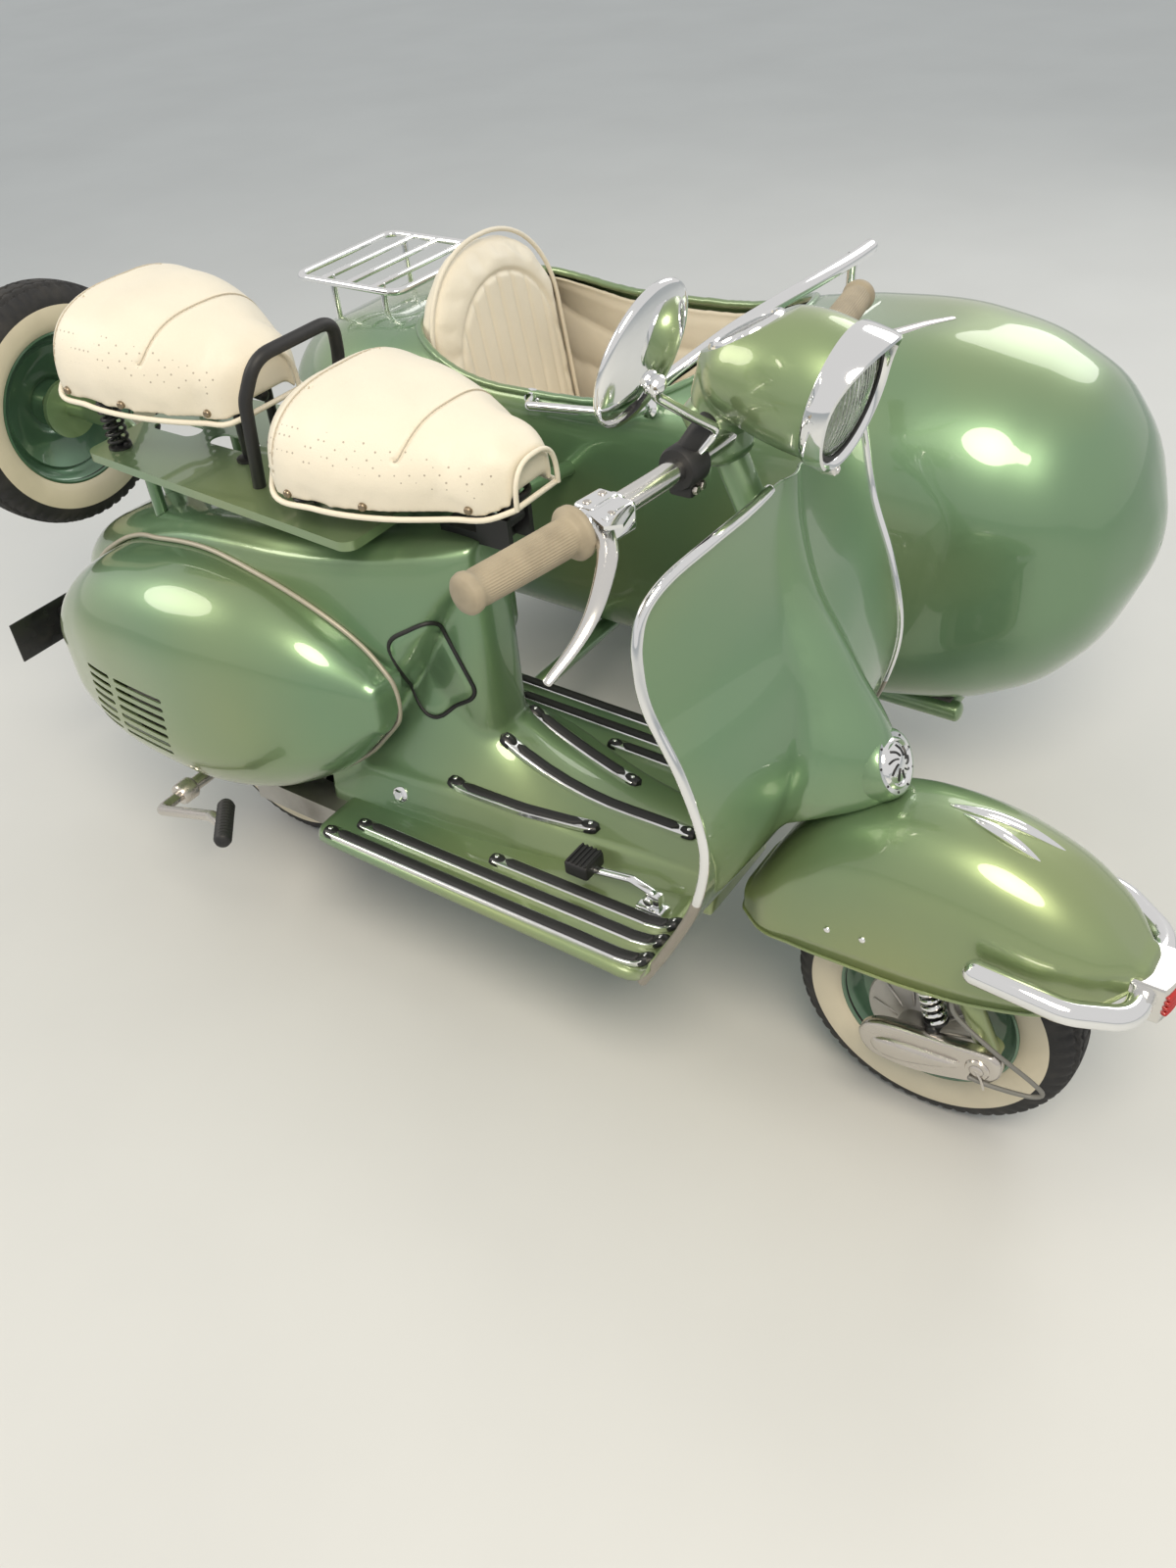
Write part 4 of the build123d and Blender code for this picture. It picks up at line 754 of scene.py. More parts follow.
def points_of(thing):
    """A piece's points as rows of millimetres."""
    table = np.empty(len(thing.data.vertices) * 3)
    thing.data.vertices.foreach_get("co", table)
    return table.reshape(-1, 3) / MM + np.array(ORIGIN)


def push(thing, lifts):
    """Move each point along its own direction by a number of millimetres."""
    for vert, normal, lift in zip(thing.data.vertices, [vert.normal.copy() for vert in thing.data.vertices],
                                  lifts):
        vert.co += normal * float(lift) * MM


def sewn(thing, seams, width, depth):
    """Press the lines of the seams into a piece, as rounded grooves."""
    spots = points_of(thing)
    gap = np.full(len(spots), 1e6)
    for spot in (spot for seam in seams for spot in seam):
        gap = np.minimum(gap, np.linalg.norm(spots - np.array(spot), axis=1))
    push(thing, -depth * np.exp(-(gap / width) ** 2))


def plump(thing, cap, voxel=6.0):
    """Blow a closed pad up like cloth, with no point moved further than the cap."""
    remesh(thing, voxel)
    settle(thing)
    start = [vert.co.copy() for vert in thing.data.vertices]
    cloth = thing.modifiers.new("cloth", "CLOTH")
    cloth.settings.use_pressure = True
    cloth.settings.uniform_pressure_force = CLOTH_PRESSURE
    cloth.settings.effector_weights.gravity = 0.0
    for step in range(1, CLOTH_FRAMES + 1):
        bpy.context.scene.frame_set(step)
    settle(thing)
    bpy.context.scene.frame_set(1)
    for vert, before in zip(thing.data.vertices, start):
        shift = vert.co - before
        if shift.length > cap * MM:
            vert.co = before + shift.normalized() * cap * MM
    soften(thing, 6)
    subdivide(thing, 1)
    settle(thing)
    shade(thing, 75.0)


# Shield
def shield_x(y, z):
    """Front of the shield's sheet."""
    _, edge, crown = between(SHIELD_ROWS, z)
    return edge + crown * (1 - (y / 262) ** 2)


def ridge_reach(y, z):
    """How far the ridge over the steering column stands out."""
    if z <= RIDGE_ROWS[0][0]:
        return 0.0
    if z < RIDGE_ROWS[1][0]:
        _, half, reach = RIDGE_ROWS[1]
        share = (RIDGE_ROWS[1][0] - z) / (RIDGE_ROWS[1][0] - RIDGE_ROWS[0][0])
        reach *= math.sqrt(max(0.0, 1 - share ** 2))
    else:
        _, half, reach = between(RIDGE_ROWS[1:], z)
    if abs(y) >= half * 1.5:
        return 0.0
    core = math.sqrt(max(0.0, 1 - (y / half) ** 2)) if abs(y) < half else 0.0
    blend_out = math.cos(math.pi / 2 * y / (half * 1.5)) ** 2
    return reach * (0.45 * core + 0.55 * blend_out)


class SCOOTER_OT_shield(Operator):
    """Leg shield with the ridge over the steering column, and its rolled edge trim"""
    bl_idname = "scooter.shield"
    bl_label = "Leg shield"

    def ring(self, half, z):
        """Level line across the sheet, with more points near its sides."""
        across = [half * math.copysign(abs(k / 48) ** 1.25, k) for k in range(-48, 49)]
        return [Vector((shield_x(y, z) + ridge_reach(y, z), y, z)) for y in across]

    def execute(self, context):
        edge = [(p.x, p.y) for p in smooth_path([(half, height, 0) for half, height in SHIELD_EDGE])]
        rings = []
        for (half, z), (next_half, next_z) in zip(edge, edge[1:]):
            steps = max(1, int((next_z - z) / 4))
            rings += [self.ring(half + (next_half - half) * k / steps, z + (next_z - z) * k / steps)
                      for k in range(steps)]
        rings.append(self.ring(*edge[-1]))
        sheet = piece("leg_shield_skin", skin(rings, closed=False), "green_paint", "root", "leg_shield",
                      smooth=55.0)
        thicken(sheet, 3.2)
        for side, label in ((-1, "right"), (1, "left")):
            path = [Vector((shield_x(half, z) - 1.6, side * half, z)) for half, z in edge]
            split = next(i for i, point in enumerate(path) if point.z > 455)
            piece("edge_trim_" + label, pipe(path[split:], 6.2, 14), "trim_chrome", "root",
                  "shield_bead" if side < 0 else None)
            piece("lower_trim_" + label, pipe(path[:split + 1], 6.4, 14), "dull_trim", "root")
        return {"FINISHED"}


class SCOOTER_OT_horn(Operator):
    """Round horn grille on the ridge"""
    bl_idname = "scooter.horn"
    bl_label = "Horn grille"

    def execute(self, context):
        axis = Vector((math.cos(RAKE), 0, math.sin(RAKE)))
        collar = [(20, -40), (46, -40), (44, -14), (41, -4), (38, 0), (30, 0)]
        piece("horn_collar", spin(collar, HORN, axis, 64), "green_paint", "root")
        grille = [(30, -8), (37, -8), (37.6, -3), (36.6, 0), (31, 0.4), (29.4, 3), (27.6, 4.2), (25.6, 3),
                  (24, 1.4), (21, 3.4), (15, 6.4), (8, 8.2), (0.01, 9)]
        piece("horn_grille_face", spin(grille, HORN, axis), "trim_chrome", "root", "horn_grille")
        side, up = frame_at(axis)
        marks = []
        for angle in turns(9):
            line = []
            for radius, height in ((9, 8), (13, 7), (17, 5.6), (21, 3.5)):
                swirl = (radius - 9) * 0.045
                line.append(HORN + arm_at(side, up, angle + swirl) * radius + axis * height)
            # Dark strips stand for the grille's slots, which are not cut: painted shade in the openings. The
            # screw heads below are dark too.
            marks.append(pipe(smooth_path(line, 3), 1.7, 8, flat=0.6))
            marks.append(button(HORN + arm_at(side, up, angle) * 34 + axis * 0.2, axis, 1.7, 1.1, 10))
        piece("horn_slots", gather(*marks), "dark_steel", "root")
        return {"FINISHED"}


# Rear body and floor
def body_shape():
    """Rear body, as rounded sections from the tail to the neck."""
    return skin([upright(x, full_outline(*between(BODY_ROWS, x)[1:])) for x in along_rows(BODY_ROWS, 12)])


def neck_shape():
    """Neck under the saddle, as level sections from its top down."""
    rings = []
    for z in along_rows(NECK_ROWS, 10):
        _, rear, front, half, round_off = between(NECK_ROWS, z)
        outline = level_outline((front - rear) / 2, half, round_off)
        rings.append([Vector((x + (rear + front) / 2, y, z)) for x, y in outline])
    return skin(rings)


def level_outline(half_x, half_y, round_off):
    """Rounded rectangle seen from above."""
    round_off = min(round_off, half_x, half_y)
    points = []
    for x, y, start in ((1, 1, 0), (-1, 1, 90), (-1, -1, 180), (1, -1, 270)):
        points += corner(x * (half_x - round_off), y * (half_y - round_off), round_off, start, start + 90, 8)
    return points


def tunnel_shape():
    """Tunnel along the floor that rises in a hollow curve into the neck."""
    rings = []
    for x in along_rows(TUNNEL_ROWS, 10):
        _, foot, half, crease, middle = between(TUNNEL_ROWS, x)
        power = float(np.interp(x, (500, 600), (2.0, 1.2)))
        top = [(half * k / 14, crease + (middle - crease) * (1 - (k / 14) ** 2) ** power)
               for k in range(-14, 15)]
        ring = [(-foot, FLOOR_Z - 24), (-foot, FLOOR_Z - 3), *top, (foot, FLOOR_Z - 3), (foot, FLOOR_Z - 24)]
        rings.append(upright(x, ring))
    return skin(rings)


def crease_lift(point):
    """Raised line along the edge of the deck."""
    rear, front = CREASE[0][0], CREASE[-1][0]
    if abs(point.y) < 40 or not rear < point.x < front:
        return 0.0
    height = between(CREASE, point.x)[1]
    gap = (point.z - height) / 6.0
    fade = min(1.0, (front - point.x) / 60, (point.x - rear) / 40)
    return 3.6 * fade * math.exp(-gap * gap)


class SCOOTER_OT_rear_body(Operator):
    """Rear body with its neck, the crease along the deck and the floor tunnel"""
    bl_idname = "scooter.rear_body"
    bl_label = "Rear body"

    def execute(self, context):
        body = blended("rear_body_skin", [body_shape(), neck_shape(), tunnel_shape()], 5.6, 9, "green_paint",
                       "root", "rear_body")
        for vert in body.data.vertices:
            point = vert.co / MM + ORIGIN
            vert.co += Vector((0, math.copysign(0.7, point.y), 0.7)) * crease_lift(point) * MM
        carve(body, spin([(0.01, -70), (222, -70), (222, 70), (0.01, 70)], REAR_AXLE, ACROSS, 64))
        carve(body, block((-500, -260, 100), (244, 260, 334), 0))
        shade(body, 40.0)
        tree = surface_tree(body)
        corners = [Vector(point) for point in ACCESS_CORNERS]
        inward = (corners[1] - corners[0]).cross(corners[2] - corners[0]).normalized()
        inward *= math.copysign(1.0, inward.y)
        start = (corners[3] + corners[0]) / 2
        outline = bend_path([start, *corners, start], 26, 6)
        path = [onto(tree, point - inward * 60, inward, 0.8)[0] for point in even(outline, 90)[:-1]]
        piece("access_gasket", pipe(path, 3.0, 10, loop=True), "black_rubber", "root", "access_cover")
        rings = []
        for scale, lift in ((0.97, 1.0), (0.945, 3.4), (0.8, 4.4), (0.5, 4.8), (0.2, 5.0), (0.02, 5.0)):
            rings.append([onto(tree, point, inward, lift)[0]
                          for point in drawn_in(path, middle_of(corners), scale, inward * -60)])
        piece("access_panel", skin(rings, caps=(False, True)), "green_paint", "root", smooth=60.0)
        screw, normal = onto(tree, (372, -300, 296), ACROSS)
        washer = spin([(4, -1), (13, -1), (13, 1.5), (11, 2.6), (4, 2.6)], screw, normal, 32)
        head = hex_head(screw + normal * 2, normal, 7.5, 5)
        piece("body_bolt", gather(washer, head), "trim_chrome", "root")
        return {"FINISHED"}


def floor_ring(x, z, half):
    """One strip across the floor pan, rolled down at both sides."""
    across = [-1.0, -0.985, -0.96, -0.9, -0.6, -0.3, 0.0, 0.3, 0.6, 0.9, 0.96, 0.985, 1.0]
    drop = [12, 4.5, 1.0, 0, 0, 0, 0, 0, 0, 0, 1.0, 4.5, 12]
    return [Vector((x, share * half, z - down)) for share, down in zip(across, drop)]


def length_of(path):
    """Length of a line of points."""
    return sum((b - a).length for a, b in zip(path, path[1:]))


def strip(path, half, low, high, crown=0.0):
    """Bar of a low, flat section along a path, with a rounded plan at both ends."""
    rings = []
    length, run = length_of(path), 0.0
    for index, here in enumerate(path):
        before, after = path[max(index - 1, 0)], path[min(index + 1, len(path) - 1)]
        if index:
            run += (here - path[index - 1]).length
        along = (after - before).normalized()
        side = Vector(UP).cross(along).normalized()
        up = along.cross(side)
        end = min(run, length - run)
        width = half * math.sqrt(max(0.02, min(1.0, 1 - (1 - min(end / half, 1)) ** 2)))
        section = [(-1, low), (-1, high - 1), (-0.85, high), (-0.4, high + crown), (0.4, high + crown),
                   (0.85, high), (1, high - 1), (1, low)]
        rings.append([here + side * width * across + up * height for across, height in section])
    return skin(rings)


def divide(points):
    """Points along straight runs, closer at the two ends."""
    path = []
    for a, b in zip(points, points[1:]):
        count = max(1, int((b - a).length / 8.0))
        path += [a + (b - a) * k / count for k in range(count)]
    path.append(points[-1])
    first, last = path[0], path[-1]
    head = [first + (path[1] - first) * share for share in (0.12, 0.35)]
    tail = [last + (path[-2] - last) * share for share in (0.35, 0.12)]
    return [first, *head, *path[1:-1], *tail, last]


class SCOOTER_OT_floor(Operator):
    """Floor pan rising to the shield, with its aluminium runners and rubber strips"""
    bl_idname = "scooter.floor"
    bl_label = "Floor and runners"

    def execute(self, context):
        rings = []
        rear, radius = 282, 24
        for past, drop in ((0, 8), (1, 2.5), (4, 0.6), (14, 0), (38, 0), (138, 0), (238, 0), (338, 0),
                           (438, 0), (518, 0)):
            gap = max(0.0, radius - past)
            half = FLOOR_HALF - (radius - math.sqrt(radius ** 2 - gap ** 2))
            rings.append(floor_ring(rear + past, FLOOR_Z - drop, half))
        for x, z in ((820, 269), (835, 272), (848, 279), (858, 289), (866, 302), (874, 318)):
            rings.append(floor_ring(x, z, FLOOR_HALF + 1 + (z - FLOOR_Z) * 0.2))
        pan = piece("floor_pan_skin", skin(rings, closed=False), "green_paint", "root", "floor_pan",
                    smooth=50.0)
        thicken(pan, 2.5)
        paths = []
        for side in (-1, 1):
            for x0, y0, x1, y1 in FLOOR_RUNNERS:
                paths.append([(x0, side * y0, FLOOR_Z), (x1 - 30, side * y1, FLOOR_Z),
                              (x1 - 2, side * y1, FLOOR_Z + 5), (x1 + 20, side * y1, FLOOR_Z + 22)])
        tree = surface_tree(bpy.data.objects["rear_body_skin"])
        for line in TUNNEL_RUNNERS:
            paths.append([onto(tree, (p.x, p.y, 500), DOWN, -0.5)[0]
                          for p in smooth_path([(x, y, 0) for x, y in line], 3)])
        metal, black, caps, screws = [], [], [], []
        for path in paths:
            path = divide(bend_path(path, 40, 4) if len(path) == 4 else path)
            metal.append(strip(path, 10.5, -1, 6.0))
            length = length_of(path)
            inner, run = [], 0.0
            for a, b in zip(path, path[1:]):
                run += (b - a).length
                if 17 < run < length - 17:
                    inner.append(b)
            black.append(strip(inner, 7.4, 2, 8.6, 1.2))
            for tip, toward in ((path[0], path[6]), (path[-1], path[-7])):
                along = (toward - tip).normalized()
                cap = [tip - along * 4, tip, tip + along * 6, tip + along * 14, tip + along * 19]
                caps.append(pipe(cap, [2.0, 9.5, 11.5, 11.5, 10.0], 16, flat=0.75))
                screws.append(button(tip + along * 9 + Vector((0, 0, 8.2)), UP, 3.4, 1.6, 16))
        piece("runner_strips", gather(*metal), "runner_aluminium", "root", "floor_runners")
        piece("runner_rubber", gather(*black), "black_rubber", "root", "runner_rubbers")
        piece("runner_caps", gather(*caps), "dark_steel", "root")
        piece("runner_screws", gather(*screws), "trim_chrome", "root")
        return {"FINISHED"}


# Side covers
def cowl_section(row, side):
    """Section of a side cover, from its inner top edge round to its inner foot."""
    x, reach, low, high = row
    inner, foot = 100.0, 141.4
    radius = min(reach - foot, (high - low) / 2) * 0.92
    bend = reach - radius
    points = [(inner + (bend - inner) * k / 4, high) for k in range(4)]
    points += corner(bend, high - radius, radius, 90, 0, 10)
    points += [(reach, high - radius + (low - high + 2 * radius) * k / 5) for k in range(1, 5)]
    points += corner(bend, low + radius, radius, 0, -90, 10)
    points += [(bend + (foot - bend) * k / 3, low) for k in range(1, 4)]
    return upright(x, [(side * across, height) for across, height in points])


def cowl_rings(side):
    """Rings of a side cover with a rounded end before the first and after the last."""
    rings = [cowl_section(between(COWL_ROWS, x), side) for x in along_rows(COWL_ROWS, 9)]
    tips = []
    for tip, outward in ((rings[0], -1), (rings[-1], 1)):
        middle = middle_of(tip)
        middle.y = side * 120.0
        grown = []
        for angle in (math.pi / 2 * step / 6 for step in range(1, 7)):
            flat_ring = drawn_in(tip, middle, math.cos(angle))
            grown.append([Vector((tip[0].x + outward * 16 * math.sin(angle), point.y, point.z))
                          for point in flat_ring])
        tips.append(grown)
    return tips[0][::-1] + rings + tips[1]


class SCOOTER_OT_covers(Operator):
    """Bulged side covers with louvres on the right, and the pale bead where they meet the body"""
    bl_idname = "scooter.covers"
    bl_label = "Side covers"

    def execute(self, context):
        gap = context.scene.scooter_sizes.louvre_gap
        tree = surface_tree(bpy.data.objects["rear_body_skin"])
        for side, label, node_name in ((-1, "right_cover", "engine_cowl"), (1, "left_cover", "left_cowl")):
            cover = piece(label, skin(cowl_rings(side), closed=False), "green_paint", "root", node_name,
                          smooth=50.0)
            thicken(cover, 2.0)
            if side < 0:
                slots = []
                for index in range(7):
                    z, shift = 452 - index * 17.0, -3.0 * index
                    for rear, front in ((-40, 70), (-110, -52)):
                        slots.append(block((rear + shift, -300, z - gap), (front + shift, -215, z), 3.5))
                carve(cover, gather(*slots))
                shade(cover, 40.0)
            self.bead(side, tree, label)
        # Dark sheet behind the louvre slots: painted shade in the openings.
        piece("louvre_shade", block((-120, -205, 330), (80, -200, 462), 1), "dark_steel", "root")
        return {"FINISHED"}

    def bead(self, side, tree, label):
        """Pale bead along a cover's edge, laid on the rear body."""
        outline = [(x, between(COWL_ROWS, x)[3] + 3) for x in along_rows(COWL_ROWS, 24)]
        outline += [(394, 494), (399, 466), (394, 438)]
        outline += [(x, between(COWL_ROWS, x)[2] - 3) for x in (384, 360, 335, 312, 290, 268)]
        path = [onto(tree, (x, side * 500, z), (0, -side, 0), 2.5)[0] for x, z in outline]
        for point in path:
            point.y = side * max(abs(point.y), 122.0)
        piece(label + "_bead", pipe(smooth_path(path[1:], 3), 3.6, 12), "pale_bead", "root")


# Wheels
def tyre_profile():
    """Half width and radius round the tyre's section, from one bead to the other."""
    half = [(30, 113), (34, 116), (40, 122), (44.5, 132), (46, 146), (45.4, 158), (43.2, 167), (39.5, 175),
            (36, 179.5), (32, 182.5), (27, 184.8), (22, 186.2), (17, 187), (12, 187.5), (7, 187.8), (2, 188)]
    return [(-w, r) for w, r in half] + [(w, r) for w, r in reversed(half)]


def tread_cut(across, turn, sizes):
    """Depth of the grooves at a place on the tread, turn counted in pitches."""
    reach = abs(across)
    phase = turn % 1.0
    zigzag = 2.2 * (abs(2 * phase - 1) * 2 - 1)
    if abs(reach - (11 + zigzag)) < 1.9:
        return sizes.tread_depth
    if abs(reach - (24 - zigzag)) < 1.7:
        return sizes.tread_depth * 0.9
    if 26 < reach < 41 and phase < 0.28:
        return sizes.tread_depth * 0.8
    if reach < 8 and 0.5 < phase < 0.62:
        return sizes.tread_depth * 0.5
    return 0.0


def tyre_piece(name, centre, axis, body, node_name, sizes):
    """Tyre with a block tread and a pale band on both sides."""
    axis = Vector(axis)
    side, up = frame_at(axis)
    base = tyre_profile()
    profile = []
    for (w0, r0), (w1, r1) in zip(base, base[1:]):
        steps = 2 if r0 > 170 and r1 > 170 else 1
        profile += [(w0 + (w1 - w0) * k / steps, r0 + (r1 - r0) * k / steps) for k in range(steps)]
    profile.append(base[-1])
    per_pitch = 5
    count = sizes.tread_pitches * per_pitch
    rings = []
    for step in range(count):
        arm = arm_at(side, up, 2 * math.pi * step / count)
        ring = []
        for width, radius in profile:
            cut = tread_cut(width, step / per_pitch, sizes) if radius > 174 else 0.0
            ring.append(centre + arm * (radius - cut) + axis * width)
        rings.append(ring)
    rings.append(rings[0])
    tyre = piece(name, skin(rings, closed=False), "tyre_rubber", body, node_name, smooth=40.0)
    tyre.data.materials.append(FINISHES["sidewall_band"])
    for poly in tyre.data.polygons:
        point = poly.center / MM + ORIGIN - centre
        radius = (point - axis * point.dot(axis)).length
        if 117 < radius < 160:
            poly.material_index = 1


def rim_piece(name, centre, axis, body, node_name, face):
    """Pressed split rim with its ring of nuts. Face is +1 or -1, the side that shows the dished centre."""
    outer = [(114, -36), (116, -38.5), (119, -38), (119.5, -35), (116, -33), (112, -30), (108, -22),
             (100, -14), (94, -9), (86, -7), (80, -4), (70, 3), (62, 6), (54, 7), (47, 10), (44, 16),
             (40, 20), (30, 22), (14, 23), (14, 16), (36, 14), (40, 8), (50, 2), (66, -2), (84, -11),
             (96, -18), (104, -8), (108, 22), (112, 30), (116, 33), (119.5, 35), (119, 38), (116, 38.5),
             (112, 34)]
    shape = spin([(radius, along * face) for radius, along in outer], centre, axis)
    piece(name, shape, "rim_paint", body, node_name, smooth=30.0)
    side, up = frame_at(axis)
    nuts = []
    for turn in turns(5):
        spot = centre + arm_at(side, up, turn + math.radians(18)) * 66
        nuts.append(hex_head(spot + axis * face * 4, axis * face, 9, 9))
        nuts.append(button(spot + axis * face * 12, axis * face, 4.6, 4, 14))
    piece(name + "_nuts", gather(*nuts), "link_steel", body)


class SCOOTER_OT_wheels(Operator):
    """Four wheels with pale sidewalls: front, rear, sidecar and spare"""
    bl_idname = "scooter.wheels"
    bl_label = "Wheels"

    def execute(self, context):
        sizes = context.scene.scooter_sizes
        y_axis, x_axis = Vector(ACROSS), Vector((1, 0, 0))
        table = [("front", FRONT_AXLE, y_axis, "front_wheel", 1),
                 ("rear", REAR_AXLE, y_axis, "rear_wheel", 1),
                 ("sidecar", SIDE_AXLE, y_axis, "sidecar_wheel", 1),
                 ("spare", SPARE_CENTRE, x_axis, "root", -1)]
        for label, centre, axis, body, face in table:
            tyre_piece(label + "_tyre_tread", centre, axis, body, label + "_tyre", sizes)
            rim_piece(label + "_rim_pressing", centre, axis, body, label + "_rim", face)
        tall = [(0.01, 46), (12, 46), (18, 43), (22, 36), (24, 24), (24, 14)]
        low = [(0.01, 34), (12, 34), (18, 32), (22, 28), (24, 20), (24, 14)]
        for label, centre, cap, finish in (("sidecar", SIDE_AXLE, tall, "trim_chrome"),
                                           ("rear", REAR_AXLE, low, "link_steel"),
                                           ("front", FRONT_AXLE, low, "link_steel")):
            piece(label + "_hub_cap", spin(cap, centre, ACROSS, 40), finish, label + "_wheel")
        spare_nut = spin([(14, -44), (20, -44), (22, -40), (22, -30), (14, -30)], SPARE_CENTRE, x_axis, 32)
        piece("spare_nut", gather(spare_nut, hex_head(SPARE_CENTRE + x_axis * -44, -x_axis, 13, 12)),
              "link_steel", "root")
        return {"FINISHED"}


# Front end
def guard_ring(x):
    """Open-bottomed section of the mudguard, from its right foot over the top to the left."""
    _, half, low, high, shoulder = between(MUDGUARD_ROWS, x)
    shoulder = min(shoulder, half)
    points = [(half, low + (high - shoulder - low) * k / 5) for k in range(5)]
    points += corner(half - shoulder, high - shoulder, shoulder, 0, 90, 12)
    points += [((half - shoulder) * (1 - k / 3), high) for k in range(1, 4)]
    return upright(x, points + [(-across, height) for across, height in reversed(points[:-1])])


def capped_rings(rings, reach, side):
    """Rings of an open-bottomed shell with a rounded end."""
    end = rings[-1] if side > 0 else rings[0]
    low = min(point.z for point in end)
    extra = []
    for angle in (math.pi / 2 * step / 6 for step in range(1, 7)):
        middle = Vector((end[0].x, 0, low))
        shift = (side * reach * math.sin(angle), 0, 0)
        extra.append(drawn_in(end, middle, max(math.cos(angle), 0.01), shift))
    return rings + extra if side > 0 else extra[::-1] + rings


class SCOOTER_OT_mudguard(Operator):
    """Front mudguard that turns with the fork, with its crest, rivets and rolled edge"""
    bl_idname = "scooter.mudguard"
    bl_label = "Front mudguard"

    def execute(self, context):
        rings = [guard_ring(x) for x in along_rows(MUDGUARD_ROWS, 8)]
        rings = capped_rings(capped_rings(rings, 16, 1), 14, -1)
        guard = piece("mudguard_skin", skin(rings, closed=False), "green_paint", "steering", "front_mudguard",
                      smooth=60.0)
        thicken(guard, 2.2)
        edge = [ring[0] for ring in rings] + [ring[-1] for ring in reversed(rings)]
        edge = [point for index, point in enumerate(edge) if (point - edge[index - 1]).length > 1.5]
        piece("mudguard_edge", pipe(edge, 2.4, 10, loop=True), "green_paint", "steering")
        tree = surface_tree(guard)
        rivets = []
        for x, z in ((1036, 322), (1083, 330)):
            for side in (-1, 1):
                spot, normal = onto(tree, (x, side * 300, z), (0, -side, 0))
                rivets.append(button(spot, normal, 4.6, 3.0))
        piece("mudguard_rivets", gather(*rivets), "trim_chrome", "steering")
        self.crest(tree)
        return {"FINISHED"}

    def crest(self, tree):
        """Two polished blades that part toward the front, the right one shorter."""
        plans = [[(1136, 1), (1160, 4), (1195, 9), (1235, 14), (1274, 19)],
                 [(1156, -6), (1176, -9), (1202, -13), (1230, -16), (1256, -19)]]
        widths, rises = (1.5, 7.0, 10.5, 8.0, 1.5), (3.0, 8.0, 12.0, 9.0, 2.0)
        blades = []
        for plan in plans:
            rings = []
            for (x, y), width, rise in zip(plan, widths, rises):
                spot, normal = onto(tree, (x, y, 700), DOWN)
                rings.append([spot + Vector((0, width * share, 0)) + normal * (rise * high - 1.5)
                              for share, high in ((-1, 0), (-0.7, 0.75), (0, 1), (0.7, 0.75), (1, 0))])
            blades.append(skin(rings))
        crest = piece("mudguard_crest_blades", gather(*blades), "trim_chrome", "steering", "mudguard_crest")
        subdivide(crest, 2)
        settle(crest)
        shade(crest, 60.0)


def ball(radius, degrees, end, along):
    """Half ball that closes the end of a tube, from the angles of its rings."""
    angles = [math.radians(angle) for angle in degrees]
    profile = [(radius * math.cos(angle), radius * math.sin(angle)) for angle in angles]
    return spin([*profile, (0.01, radius)], end, along, 28)


def bowed(x, y):
    """Place along the bumper block's bowed face."""
    return x - 0.006 * y * y


class SCOOTER_OT_bumper(Operator):
    """Tube bumper round the mudguard with a ribbed block and red insert at its front"""
    bl_idname = "scooter.bumper"
    bl_label = "Bumper"

    def execute(self, context):
        path = bend_path(BUMPER_PATH, [60, 44, 44, 60], 14)
        piece("bumper_tube", pipe(path, BUMPER_R, 28), "trim_chrome", "steering", "bumper")
        balls = [ball(BUMPER_R, range(0, 90, 10), end, end - before)
                 for end, before in ((path[0], path[1]), (path[-1], path[-2]))]
        piece("bumper_ends", gather(*balls), "trim_chrome", "steering")
        across = [-36 + 9 * k for k in range(9)]
        plan = [(bowed(BLOCK_FRONT, y), y) for y in across]
        plan += [(bowed(BLOCK_REAR, y), y) for y in reversed(across)]
        rings = []
        for z, scale in ((316, 0.94), (319, 1.0), (350, 1.0), (366, 1.0), (371, 0.93)):
            rings.append(drawn_in([Vector((x, y, z)) for x, y in plan], Vector((BLOCK_MIDDLE, 0, z)), scale))
        piece("bumper_block", skin(rings), "bar_aluminium", "steering", smooth=30.0)
        ribs = [pipe([(bowed(BLOCK_FRONT, y), y, 329 + 8.5 * index) for y in range(-28, 29, 8)], 4.0, 12,
                     flat=0.7) for index in range(4)]
        piece("bumper_red", gather(*ribs), "red_plastic", "steering", "bumper_insert")
        return {"FINISHED"}


def on_column(z, ahead=0.0):
    """Place on the steering axis at a height, or ahead of it."""
    return Vector((COLUMN_FOOT_X - z * math.tan(RAKE) + ahead, 0, z))


